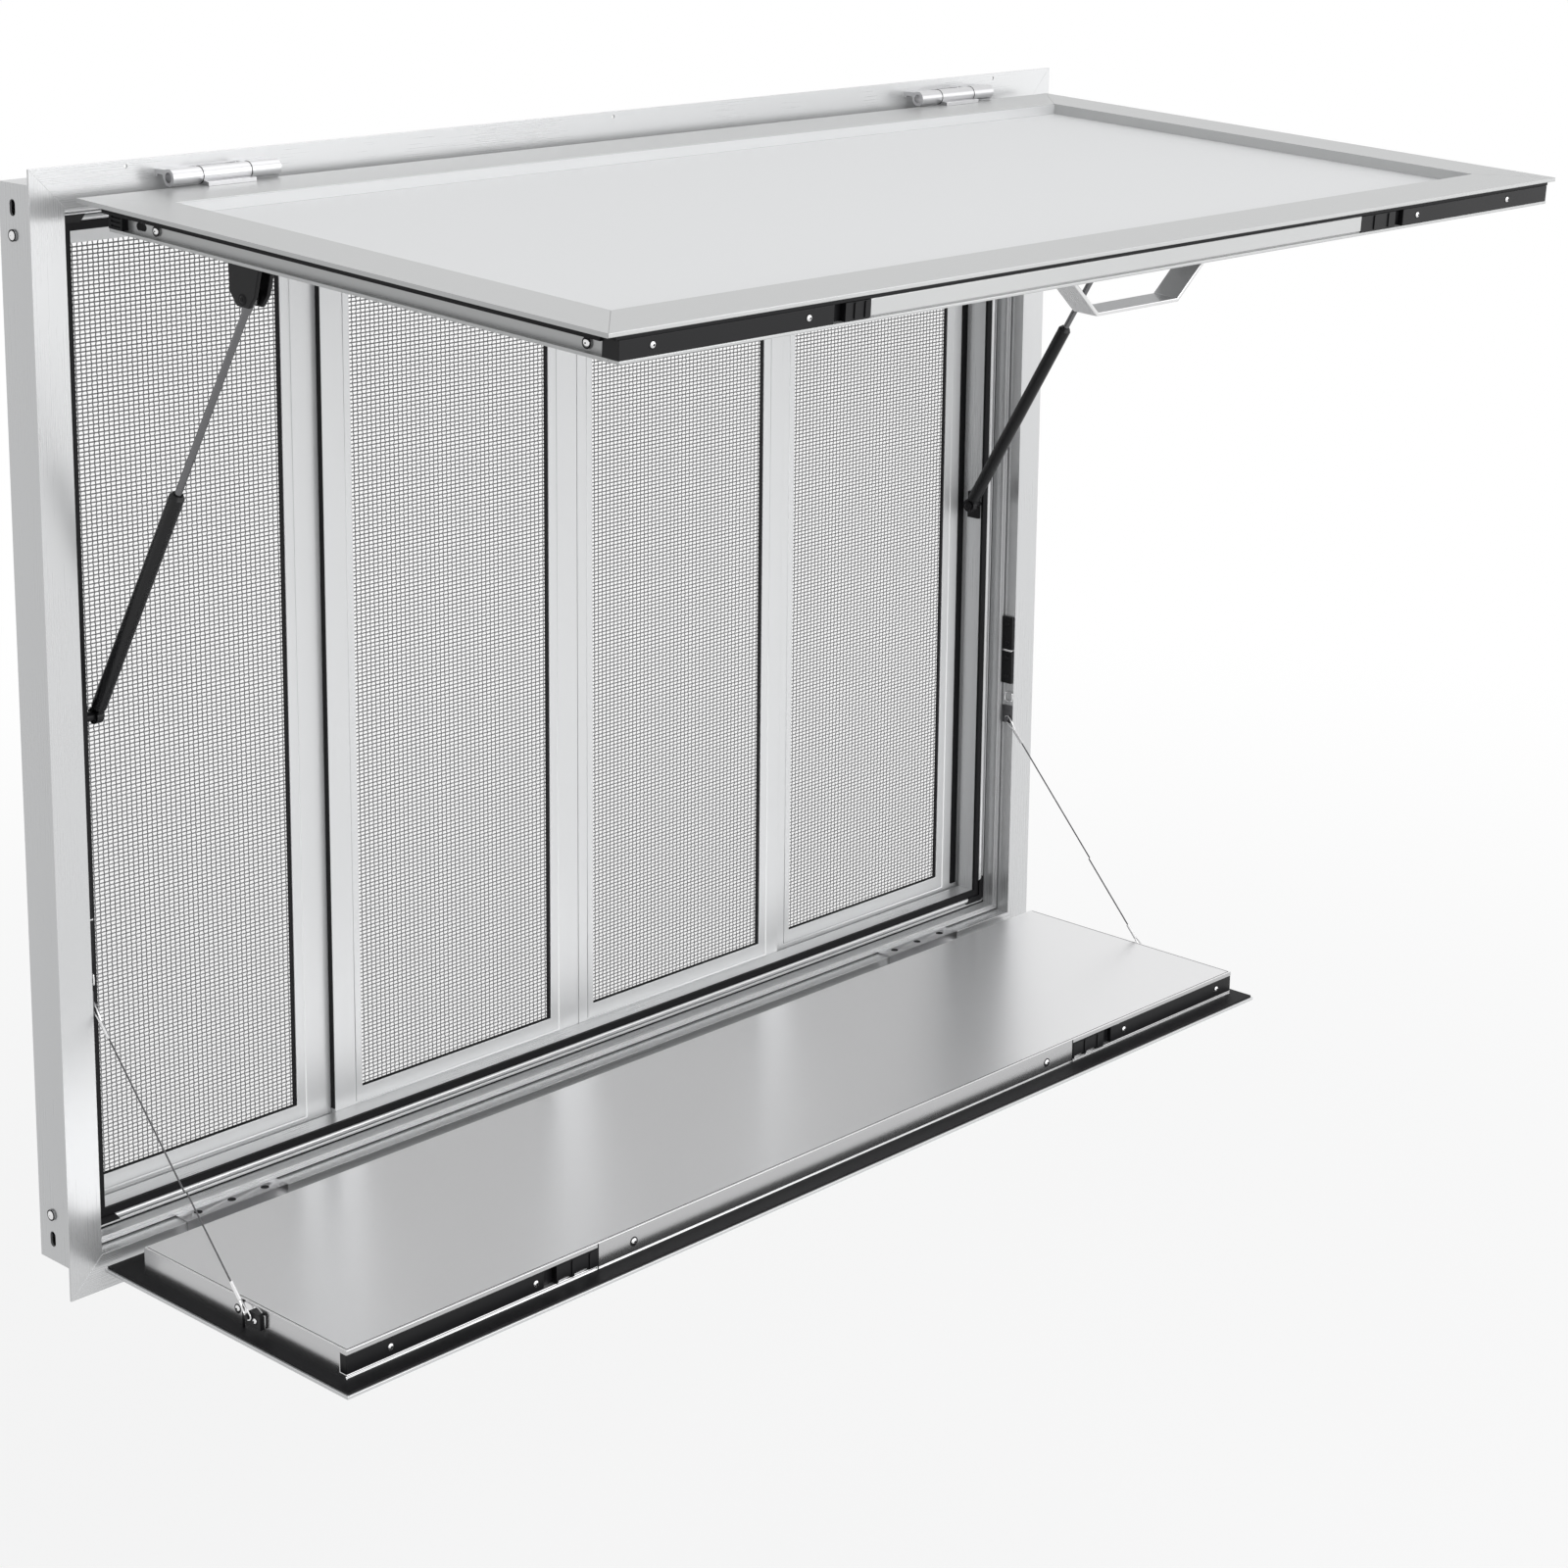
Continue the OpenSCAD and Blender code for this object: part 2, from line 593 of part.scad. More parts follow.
// part of a stay from its eye at the pivot, leaning by side over its length
module stay_part(length, side) difference() {
    union() {
        translate([-1, 0, 0]) rotate([0, 90, 0]) cylinder(h = 2, r = 3.4);
        rotate([0, atan2(side, length), 0]) {
            translate([0, 0, 2.4]) cylinder(h = length - 2.55, r = stay_r);
            translate([0, 0, 14]) cylinder(h = 20, r = stay_r + 0.9);
        }
    }
    rod_x(-4, 4, 0, 0, 1.56);
}

module stay_upper() translate([xl + st_ak, st_ay, st_az]) rotate([180 - st_lean, 0, 0])
    stay_part(st_up, st_mid - st_gap / 2 - st_ak);
module stay_lower() translate([xl + st_bk, st_by, st_bz]) rotate([-st_lean, 0, 0])
    stay_part(st_low, st_mid + st_gap / 2 - st_bk);

module stay_bracket_left() color("silver") stay_bracket();
module stay_bracket_right() color("silver") mirror([1, 0, 0]) stay_bracket();
module stay_catch_left() color([0.1, 0.1, 0.1]) stay_catch();
module stay_catch_right() color([0.1, 0.1, 0.1]) mirror([1, 0, 0]) stay_catch();
module stay_upper_left() color([0.5, 0.5, 0.5]) stay_upper();
module stay_upper_right() color([0.5, 0.5, 0.5]) mirror([1, 0, 0]) stay_upper();
module stay_lower_left() color([0.5, 0.5, 0.5]) stay_lower();
module stay_lower_right() color([0.5, 0.5, 0.5]) mirror([1, 0, 0]) stay_lower();

left_jamb();
right_jamb();
head();
sill();
frame_seal();
left_keeper();
right_keeper();
screen_frame_1();
screen_frame_2();
screen_frame_3();
screen_frame_4();
screen_mesh_1();
screen_mesh_2();
screen_mesh_3();
screen_mesh_4();
top_hinge_wall_leaf_left();
top_hinge_wall_leaf_right();
top_hinge_awning_leaf_left();
top_hinge_awning_leaf_right();
shelf_hinge_wall_leaf_left();
shelf_hinge_wall_leaf_right();
shelf_hinge_shelf_leaf_left();
shelf_hinge_shelf_leaf_right();
awning_back_rail();
awning_front_rail();
awning_left_rail();
awning_right_rail();
awning_panel();
awning_gasket();
awning_latch_bar_left();
awning_latch_bar_right();
awning_latch_slider_left();
awning_latch_slider_right();
pull_handle();
strut_fork_left();
strut_fork_right();
strut_base_left();
strut_base_right();
strut_cylinder_left();
strut_cylinder_right();
strut_rod_left();
strut_rod_right();
shelf_skin();
shelf_gasket();
shelf_box();
shelf_latch_bar_left();
shelf_latch_bar_right();
shelf_latch_slider_left();
shelf_latch_slider_right();
stay_bracket_left();
stay_bracket_right();
stay_catch_left();
stay_catch_right();
stay_upper_left();
stay_upper_right();
stay_lower_left();
stay_lower_right();
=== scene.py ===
import json
import math

import bmesh
import bpy
from mathutils import Matrix, Vector


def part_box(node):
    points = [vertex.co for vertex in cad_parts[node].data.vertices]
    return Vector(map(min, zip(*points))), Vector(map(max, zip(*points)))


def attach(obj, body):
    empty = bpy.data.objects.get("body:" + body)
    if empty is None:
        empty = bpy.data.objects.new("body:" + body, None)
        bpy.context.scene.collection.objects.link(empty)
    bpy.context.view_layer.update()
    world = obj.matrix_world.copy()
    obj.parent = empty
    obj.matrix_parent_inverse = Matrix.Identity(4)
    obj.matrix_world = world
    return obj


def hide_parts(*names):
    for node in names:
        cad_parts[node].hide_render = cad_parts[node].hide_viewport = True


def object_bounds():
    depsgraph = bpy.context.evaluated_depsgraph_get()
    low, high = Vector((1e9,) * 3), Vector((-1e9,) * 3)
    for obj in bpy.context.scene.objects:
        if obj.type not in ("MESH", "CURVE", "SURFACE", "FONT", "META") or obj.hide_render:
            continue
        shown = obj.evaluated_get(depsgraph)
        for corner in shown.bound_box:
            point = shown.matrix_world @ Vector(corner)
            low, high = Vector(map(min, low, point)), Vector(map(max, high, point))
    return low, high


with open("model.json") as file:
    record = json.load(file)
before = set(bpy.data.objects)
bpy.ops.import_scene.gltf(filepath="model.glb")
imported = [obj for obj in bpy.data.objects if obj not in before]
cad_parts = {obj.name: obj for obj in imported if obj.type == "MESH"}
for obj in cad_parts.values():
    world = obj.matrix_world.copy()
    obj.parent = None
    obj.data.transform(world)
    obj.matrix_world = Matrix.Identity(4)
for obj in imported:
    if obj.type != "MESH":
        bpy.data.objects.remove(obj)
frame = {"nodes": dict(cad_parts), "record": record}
nodes = frame["nodes"]
cad_low, cad_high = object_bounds()
MM = 0.001
scene = bpy.context.scene
record = frame["record"]
BODY_OF = {cad: body for body, cads in record["behaviour"]["bodies"].items() for cad in cads}
SCREENS = range(1, 5)

# Camera, from the photograph's viewing angle: eye in metres, turn to the right, tilt down, roll
EYE = (-2.100, -2.179, 1.261)
TURN = 0.8100
TILT = 0.2184
ROLL = 0.0087
FOCAL_PIXELS = 3422.0
CENTRE_PIXEL = (768.5, 496.0)
PICTURE_PIXELS = 1600
SENSOR = 36.0


def make_camera():
    cam = bpy.data.cameras.new("camera")
    cam.sensor_width = SENSOR
    cam.lens = FOCAL_PIXELS / PICTURE_PIXELS * SENSOR
    cam.shift_x = (PICTURE_PIXELS / 2 - CENTRE_PIXEL[0]) / PICTURE_PIXELS
    cam.shift_y = (CENTRE_PIXEL[1] - PICTURE_PIXELS / 2) / PICTURE_PIXELS
    cam.clip_start = 0.05
    cam.clip_end = 200
    obj = bpy.data.objects.new("camera", cam)
    scene.collection.objects.link(obj)
    forward = Vector((math.sin(TURN) * math.cos(TILT), math.cos(TURN) * math.cos(TILT),
                      -math.sin(TILT)))
    level_right = Vector((math.cos(TURN), -math.sin(TURN), 0))
    level_up = level_right.cross(forward)
    right = level_right * math.cos(ROLL) + level_up * math.sin(ROLL)
    up = level_up * math.cos(ROLL) - level_right * math.sin(ROLL)
    turn = Matrix((right, up, -forward)).transposed()
    obj.matrix_world = Matrix.Translation(EYE) @ turn.to_4x4()
    scene.camera = obj


make_camera()


# Shader helpers
def new_material(name):
    mat = bpy.data.materials.new(name)
    mat.use_nodes = True
    mat.node_tree.nodes.clear()
    return mat


def node(tree, kind, **values):
    """A new node. Each value is a setting of the node or, with blanks for underscores, an input."""
    made = tree.nodes.new(kind)
    for key, value in values.items():
        if hasattr(made, key):
            setattr(made, key, value)
        else:
            made.inputs[key.replace("_", " ")].default_value = value
    return made


def sum_node(tree, operation, *values):
    """A Math node. Each value is a number, a socket to link, or None to leave open."""
    made = node(tree, "ShaderNodeMath", operation=operation)
    for socket, value in zip(made.inputs, values):
        if isinstance(value, (int, float)):
            socket.default_value = value
        elif value is not None:
            tree.links.new(value, socket)
    return made.outputs[0]


def grain_group():
    """Drawn or brushed grain: fine streaks along one direction and broad soft clouds."""
    tree = bpy.data.node_groups.new("drawn_grain", "ShaderNodeTree")
    tree.interface.new_socket(name="Stretch", in_out="INPUT", socket_type="NodeSocketVector")
    for name in ("Roughness", "Roughness Swing", "Tint Swing", "Cloud Scale"):
        tree.interface.new_socket(name=name, in_out="INPUT", socket_type="NodeSocketFloat")
    for name in ("Roughness", "Tint", "Height"):
        tree.interface.new_socket(name=name, in_out="OUTPUT", socket_type="NodeSocketFloat")
    start = tree.nodes.new("NodeGroupInput")
    end = tree.nodes.new("NodeGroupOutput")
    place = tree.nodes.new("ShaderNodeTexCoord")
    stretch = node(tree, "ShaderNodeVectorMath", operation="MULTIPLY")
    streaks = node(tree, "ShaderNodeTexNoise", Scale=1.0, Detail=3.0, Roughness=0.6)
    clouds = node(tree, "ShaderNodeTexNoise", Detail=2.0, Roughness=0.5)
    link = tree.links.new
    link(place.outputs["Object"], stretch.inputs[0])
    link(start.outputs["Stretch"], stretch.inputs[1])
    link(stretch.outputs[0], streaks.inputs["Vector"])
    link(place.outputs["Object"], clouds.inputs["Vector"])
    link(start.outputs["Cloud Scale"], clouds.inputs["Scale"])
    streak_swing = sum_node(tree, "SUBTRACT", streaks.outputs["Fac"], 0.5)
    cloud_swing = sum_node(tree, "SUBTRACT", clouds.outputs["Fac"], 0.5)
    both = sum_node(tree, "ADD", streak_swing, cloud_swing)
    rough = sum_node(tree, "MULTIPLY_ADD", both, start.outputs["Roughness Swing"],
                     start.outputs["Roughness"])
    tint = sum_node(tree, "MULTIPLY_ADD", both, start.outputs["Tint Swing"], 1.0)
    link(rough, end.inputs["Roughness"])
    link(tint, end.inputs["Tint"])
    link(streaks.outputs["Fac"], end.inputs["Height"])
    return tree


GRAIN = grain_group()
RELIEF_DEPTH = 0.4 * MM
# Streaks per metre in X, Y and Z
ALONG_X = (12.0, 2600.0, 2600.0)
ALONG_Y = (2600.0, 12.0, 2600.0)
ALONG_Z = (2600.0, 2600.0, 12.0)
ALL_ROUND = (900.0, 900.0, 900.0)


def finish(name, colour, rough, metallic, stretch, swing=0.12, tint=0.05, bump=0.04, cloud=9.0,
           gloss=0.5):
    """A surface finish: colour, roughness, grain and how strongly its surface shines."""
    mat = new_material(name)
    tree = mat.node_tree
    link = tree.links.new
    shader = node(tree, "ShaderNodeBsdfPrincipled", Metallic=metallic)
    shader.inputs["Specular IOR Level"].default_value = gloss
    out = tree.nodes.new("ShaderNodeOutputMaterial")
    grain = tree.nodes.new("ShaderNodeGroup")
    grain.node_tree = GRAIN
    for socket, value in (("Stretch", stretch), ("Roughness", rough), ("Roughness Swing", swing),
                          ("Tint Swing", tint), ("Cloud Scale", cloud)):
        grain.inputs[socket].default_value = value
    shade = node(tree, "ShaderNodeMix", data_type="RGBA", blend_type="MULTIPLY")
    shade.inputs[0].default_value = 1.0
    shade.inputs[6].default_value = (*colour, 1)
    relief = node(tree, "ShaderNodeBump", Strength=bump, Distance=RELIEF_DEPTH)
    link(grain.outputs["Tint"], shade.inputs[7])
    link(shade.outputs[2], shader.inputs["Base Color"])
    link(grain.outputs["Roughness"], shader.inputs["Roughness"])
    link(grain.outputs["Height"], relief.inputs["Height"])
    link(relief.outputs["Normal"], shader.inputs["Normal"])
    link(shader.outputs[0], out.inputs["Surface"])
    return mat


ALUMINIUM = (0.62, 0.625, 0.63)
AWNING_ALUMINIUM = (0.50, 0.505, 0.505)
BLACK = (0.008, 0.008, 0.009)
DRAWN = {"swing": 0.04, "tint": 0.015, "bump": 0.004}
AWNING_DRAWN = {"swing": 0.08, "tint": 0.04, "bump": 0.02}
BRUSHED = {"swing": 0.03, "tint": 0.02, "bump": 0.004, "cloud": 2.0}

aluminium_x = finish("satin_aluminium_x", ALUMINIUM, 0.28, 0.55, ALONG_X, **DRAWN)
aluminium_z = finish("satin_aluminium_z", ALUMINIUM, 0.28, 0.55, ALONG_Z, **DRAWN)
awning_edge_x = finish("awning_aluminium_x", AWNING_ALUMINIUM, 0.36, 0.5, ALONG_X, **AWNING_DRAWN)
awning_edge_y = finish("awning_aluminium_y", AWNING_ALUMINIUM, 0.36, 0.5, ALONG_Y, **AWNING_DRAWN)
# painted highlight: a brighter aluminium for the strip at the back of the awning's recess
painted_highlight_aluminium = finish("bright_bead", (0.70, 0.705, 0.71), 0.3, 0.3, ALONG_X,
                    swing=0.05, tint=0.02, bump=0.01)
screen_aluminium = finish("screen_aluminium", (0.68, 0.685, 0.69), 0.42, 0.35, ALONG_Z,
                          swing=0.05, tint=0.015, bump=0.01)
hinge_metal = finish("hinge_aluminium", (0.62, 0.62, 0.63), 0.3, 1.0, ALL_ROUND,
                     swing=0.05, bump=0.01)
awning_skin = finish("awning_sheet", (0.72, 0.725, 0.73), 0.5, 0.3, ALL_ROUND,
                     swing=0.05, tint=0.01, bump=0.01)
brushed_steel = finish("brushed_shelf_steel", (0.80, 0.80, 0.805), 0.30, 0.85, ALONG_X, **BRUSHED)
# painted shade: a darker copy of the shelf steel for the sides and underside of the shelf box
shelf_shaded_side_steel = finish("folded_shelf_steel", (0.52, 0.52, 0.525), 0.22, 1.0, ALONG_X, **BRUSHED)
bright_steel = finish("bright_steel", (0.75, 0.75, 0.755), 0.16, 1.0, ALL_ROUND,
                      swing=0.05, bump=0.01)
rod_steel = finish("strut_rod_steel", (0.16, 0.16, 0.165), 0.2, 1.0, ALL_ROUND,
                   swing=0.04, bump=0.01)
rope_steel = finish("rope_steel", (0.13, 0.13, 0.135), 0.3, 1.0, ALL_ROUND, swing=0.08)
wire_grey = finish("screen_wire", (0.25, 0.25, 0.255), 0.55, 0.2, ALL_ROUND, swing=0.1)
# black for the seals and gaskets, also used for the black strips, discs and rings that are painted
# shade
black_seals_and_shade = finish("black_rubber", BLACK, 0.55, 0.0, ALL_ROUND, swing=0.15, bump=0.06, gloss=0.16)
plastic = finish("black_plastic", BLACK, 0.34, 0.0, ALL_ROUND, swing=0.1, gloss=0.2)
strut_paint = finish("strut_paint", (0.007, 0.007, 0.008), 0.28, 0.0, ALONG_Z,
                     swing=0.08, bump=0.02, gloss=0.3)

FINISH_OF = {
    "left_jamb": aluminium_z, "right_jamb": aluminium_z, "head": aluminium_x, "sill": aluminium_x,
    "frame_seal": black_seals_and_shade, "awning_gasket": black_seals_and_shade, "shelf_gasket": black_seals_and_shade,
    "awning_back_rail": awning_edge_x, "awning_front_rail": awning_edge_x,
    "awning_left_rail": awning_edge_y, "awning_right_rail": awning_edge_y,
    "awning_panel": awning_skin, "pull_handle": bright_steel,
    "shelf_skin": aluminium_x, "shelf_box": brushed_steel,
}
FINISH_BY_WORD = (
    ("screen_frame", screen_aluminium), ("screen_mesh", wire_grey), ("hinge", hinge_metal),
    ("latch", plastic), ("keeper", plastic), ("strut_fork", plastic), ("strut_base", plastic),
    ("strut_cylinder", strut_paint), ("strut_rod", rod_steel), ("stay_catch", plastic),
    ("stay", rope_steel),
)


def finish_of(name):
    if name in FINISH_OF:
        return FINISH_OF[name]
    return next((mat for word, mat in FINISH_BY_WORD if word in name), aluminium_x)


for name, obj in nodes.items():
    obj.data.materials.clear()
    obj.data.materials.append(finish_of(name))


# Edges: every hard piece is shown with small rounded edges
MERGE_DISTANCE = 0.002 * MM
FLAT_ANGLE = math.radians(0.6)
FACET_ANGLE = math.radians(1)
SHARP_ANGLE = math.radians(35)


def softened(cad, width, segments=2):
    """A copy of a CAD node with its sharp edges rounded."""
    mesh = nodes[cad].data.copy()
    shape = bmesh.new()
    shape.from_mesh(mesh)
    bmesh.ops.remove_doubles(shape, verts=shape.verts, dist=MERGE_DISTANCE)
    bmesh.ops.dissolve_limit(shape, angle_limit=FLAT_ANGLE, verts=shape.verts, edges=shape.edges)
    # facets of a curve are shaded smooth, flat faces stay flat
    for face in shape.faces:
        face.smooth = any(len(edge.link_faces) == 2
                          and FACET_ANGLE < edge.calc_face_angle(0) < SHARP_ANGLE
                          for edge in face.edges)
    sharp = [edge for edge in shape.edges
             if len(edge.link_faces) == 2 and edge.calc_face_angle(0) > SHARP_ANGLE
             and edge.calc_length() > 2 * width]
    rounded = bmesh.ops.bevel(shape, geom=sharp, offset=width, offset_type="OFFSET",
                              segments=segments, profile=0.6, affect="EDGES", clamp_overlap=True)
    for face in rounded["faces"]:
        face.smooth = True
    # the shelf box's faces that do not face up take the darker copy of its steel: painted shade
    if cad == "shelf_box":
        mesh.materials.append(shelf_shaded_side_steel)
        for face in shape.faces:
            face.material_index = 0 if face.normal.z > 0.5 else 1
    shape.to_mesh(mesh)
    shape.free()
    made = bpy.data.objects.new(cad + "_soft", mesh)
    scene.collection.objects.link(made)
    return made


SOFT_EDGES = {cad: 0.45 * MM for cad in ("left_jamb", "right_jamb", "head", "sill")}
SOFT_EDGES |= {cad: 0.6 * MM for cad in (
    "awning_back_rail", "awning_front_rail", "awning_left_rail", "awning_right_rail", "shelf_box",
    "shelf_skin", "pull_handle")}
SOFT_EDGES |= {f"screen_frame_{number}": 0.4 * MM for number in SCREENS}
for side in ("left", "right"):
    for fitting in ("top_hinge_wall_leaf", "top_hinge_awning_leaf", "shelf_hinge_wall_leaf",
                    "strut_fork", "awning_latch_bar", "shelf_latch_bar"):
        SOFT_EDGES[f"{fitting}_{side}"] = 0.5 * MM
    SOFT_EDGES[f"{side}_keeper"] = 1.6 * MM

for cad, width in SOFT_EDGES.items():
    soft = softened(cad, width)
    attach(soft, BODY_OF[cad])
    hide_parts(cad)


# Geometry tree helpers
def geometry_tree(name, **inputs):
    """A geometry tree with these named inputs, given with the kind of each, and its two ends."""
    tree = bpy.data.node_groups.new(name, "GeometryNodeTree")
    tree.interface.new_socket(name="Geometry", in_out="INPUT",
                              socket_type="NodeSocketGeometry")
    for label, kind in inputs.items():
        tree.interface.new_socket(name=label.replace("_", " "), in_out="INPUT",
                                  socket_type="NodeSocket" + kind)
    tree.interface.new_socket(name="Geometry", in_out="OUTPUT",
                              socket_type="NodeSocketGeometry")
    return tree, tree.nodes.new("NodeGroupInput"), tree.nodes.new("NodeGroupOutput")


def linked(tree, kind, links, output=0, **values):
    """A new node with these sockets linked to its inputs, given as its output socket."""
    made = node(tree, kind, **values)
    for key, source in links.items():
        tree.links.new(source, made.inputs[key])
    return made.outputs[output]


def vector_along(tree, axis, length):
    return linked(tree, "ShaderNodeCombineXYZ", {axis: length})


def straight_line(tree, end):
    return linked(tree, "GeometryNodeCurvePrimitiveLine", {"End": end})


def wire_along(tree, curve, profile, **values):
    return linked(tree, "GeometryNodeCurveToMesh", {"Curve": curve, "Profile Curve": profile},
                  **values)


def row_of_points(tree, count, step):
    """Points one step apart, the first of them one step in."""
    return linked(tree, "GeometryNodeMeshLine",
                  {"Count": count, "Offset": step, "Start Location": step}, mode="OFFSET")


def copies_on(tree, points, piece, **more):
    return linked(tree, "GeometryNodeInstanceOnPoints",
                  {"Points": points, "Instance": piece, **more})


def made_real(tree, geometry):
    return linked(tree, "GeometryNodeRealizeInstances", {"Geometry": geometry})


def painted(tree, geometry, material):
    return linked(tree, "GeometryNodeSetMaterial", {"Geometry": geometry, "Material": material})


def grown(name, tree, start_mesh=None, **values):
    """Runs a geometry tree with these inputs and returns its result as a plain mesh object."""
    seed = bpy.data.objects.new(name + "_seed",
                                start_mesh or bpy.data.meshes.new(name + "_seed"))
    scene.collection.objects.link(seed)
    modifier = seed.modifiers.new("grow", "NODES")
    modifier.node_group = tree
    for item in tree.interface.items_tree:
        key = item.name.replace(" ", "_").lower()
        if item.in_out == "INPUT" and key in values:
            modifier[item.identifier] = values[key]
    bpy.context.view_layer.update()
    evaluated = seed.evaluated_get(bpy.context.evaluated_depsgraph_get())
    mesh = bpy.data.meshes.new_from_object(evaluated)
    bpy.data.objects.remove(seed)
    made = bpy.data.objects.new(name, mesh)
    scene.collection.objects.link(made)
    return made


# Insect screens: straight wires across, wavy wires up and down
WIRE_PITCH_X = 5.1 * MM
WIRE_PITCH_Z = 3.6 * MM
WIRE_RADIUS = 0.62 * MM


def woven_tree():
    tree, start, end = geometry_tree(
        "woven_screen", Width="Float", Height="Float", Pitch_X="Float", Pitch_Z="Float",
        Wire_Radius="Float", Columns="Int", Rows="Int", Material="Material")
    given = start.outputs
    circle = linked(tree, "GeometryNodeCurvePrimitiveCircle", {"Radius": given["Wire Radius"]},
                    Resolution=4)

    # wires across
    across = straight_line(tree, vector_along(tree, "X", given["Width"]))
    rows = row_of_points(tree, given["Rows"], vector_along(tree, "Z", given["Pitch Z"]))
    all_across = copies_on(tree, rows, wire_along(tree, across, circle))

    # wires up and down, which swing to one side of each crossing wire in turn
    upright = linked(tree, "GeometryNodeResampleCurve", {
        "Curve": straight_line(tree, vector_along(tree, "Z", given["Height"])),
        "Count": sum_node(tree, "ADD", given["Rows"], 2)})
    index = tree.nodes.new("GeometryNodeInputIndex")
    odd = sum_node(tree, "MODULO", index.outputs[0], 2)
    side = sum_node(tree, "MULTIPLY_ADD", odd, 2, -1)
    swing = sum_node(tree, "MULTIPLY", side, given["Wire Radius"])
    wavy = linked(tree, "GeometryNodeSetPosition",
                  {"Geometry": upright, "Offset": vector_along(tree, "Y", swing)})
    columns = row_of_points(tree, given["Columns"], vector_along(tree, "X", given["Pitch X"]))
    half_turn = sum_node(tree, "MULTIPLY", odd, math.pi)
    all_upright = copies_on(tree, columns, wire_along(tree, wavy, circle),
                            Rotation=vector_along(tree, "Z", half_turn))

    join = tree.nodes.new("GeometryNodeJoinGeometry")
    tree.links.new(all_across, join.inputs[0])
    tree.links.new(all_upright, join.inputs[0])
    tree.links.new(painted(tree, made_real(tree, join.outputs[0]), given["Material"]),
                   end.inputs[0])
    return tree


WOVEN = woven_tree()


def weave_screen(number):
    cad = f"screen_mesh_{number}"
    low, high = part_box(cad)
    width, height = high.x - low.x, high.z - low.z
    columns = int(width / WIRE_PITCH_X)
    rows = int(height / WIRE_PITCH_Z)
    made = grown(f"woven_screen_{number}", WOVEN, width=width, height=height,
                 pitch_x=width / (columns + 1), pitch_z=height / (rows + 1),
                 wire_radius=WIRE_RADIUS, columns=columns, rows=rows, material=wire_grey)
    made.data.transform(Matrix.Translation((low.x, (low.y + high.y) / 2, low.z)))
    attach(made, "frame")
    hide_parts(cad)


for number in SCREENS:
    weave_screen(number)


# Small fittings. Their sizes are in millimetres, and an inset is a distance inside the flange's
# outer edge. On the awning, Y and Z are counted from its hinge pin, with the awning level.
LEFT, BOTTOM = cad_low.x / MM, cad_low.z / MM
WIDTH, HEIGHT = (cad_high.x - cad_low.x) / MM, (cad_high.z - cad_low.z) / MM
FLIPS = (1, -1)  # the left side, and its mirror image on the right
HINGE_PIN = (-19.5, 920)
AWNING_SLOPE = math.radians(3)
AWNING = (Matrix.Translation((0, HINGE_PIN[0] * MM, HINGE_PIN[1] * MM))
          @ Matrix.Rotation(AWNING_SLOPE, 4, "X"))
AWNING_INSET = 29.6
AWNING_FACE = -594.8
AWNING_SLOT_Z = -22.5
JAMB_INSET = 32.0
SHELF_INSET = 44.0
SHELF_TOP = 40.4


def inset(distance, flip=1):
    """X of a spot this far inside the flange's left edge, or its right edge where flip is -1."""
    return flip * (LEFT + distance)


def box_mm(cad):
    """The two corners of a CAD node's box, in millimetres."""
    return [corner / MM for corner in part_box(cad)]


def new_piece(name, shape, mat, body, place=None):
    """Turns a bmesh into a finished piece on this body."""
    mesh = bpy.data.meshes.new(name)
    shape.to_mesh(mesh)
    shape.free()
    mesh.materials.append(mat)
    if place:
        mesh.transform(place)
    made = bpy.data.objects.new(name, mesh)
    scene.collection.objects.link(made)
    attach(made, body)
    return made


def add_prism(shape, outline, start, end, axis="Y"):
    """A straight piece along this axis, from start to end. The outline gives the other two."""
    order = {"X": (2, 0, 1), "Y": (0, 2, 1), "Z": (0, 1, 2)}[axis]
    rings = []
    for depth in (start, end):
        rings.append([shape.verts.new([(a, b, depth)[k] * MM for k in order])
                      for a, b in outline])
    faces = [shape.faces.new(ring) for ring in rings]
    count = len(outline)
    for i in range(count):
        faces.append(shape.faces.new((rings[0][i], rings[0][(i + 1) % count],
                                      rings[1][(i + 1) % count], rings[1][i])))
    bmesh.ops.recalc_face_normals(shape, faces=faces)


def box_outline(a0, a1, b0, b1):
    return [(a0, b0), (a1, b0), (a1, b1), (a0, b1)]


def round_outline(a, b, radius, count):
    turns = (2 * math.pi * k / count for k in range(count))
    return [(a + radius * math.cos(turn), b + radius * math.sin(turn)) for turn in turns]


def add_tube(shape, points, radius, sides=8, closed=False):
    """A round wire through these points."""
    path = [Vector(point) * MM for point in points]
    count = len(path)
    rings = []
    side = None
    for i, point in enumerate(path):
        before = path[i - 1] if closed or i else point
        after = path[(i + 1) % count] if closed or i < count - 1 else point
        along = (after - before).normalized()
        if side is None:
            side = along.orthogonal().normalized()
        side = (side - along * side.dot(along)).normalized()
        other = along.cross(side)
        turns = (2 * math.pi * k / sides for k in range(sides))
        rings.append([
            shape.verts.new(point + radius * MM * (side * math.cos(turn) + other * math.sin(turn)))
            for turn in turns])
    for i in range(count if closed else count - 1):
        near, far = rings[i], rings[(i + 1) % count]
        for k in range(sides):
            shape.faces.new((near[k], near[(k + 1) % sides], far[(k + 1) % sides], far[k]))
    if not closed:
        shape.faces.new(list(reversed(rings[0])))
        shape.faces.new(rings[-1])


def smooth(made, degrees=40):
    for face in made.data.polygons:
        face.use_smooth = True
    made.data.set_sharp_from_angle(angle=math.radians(degrees))


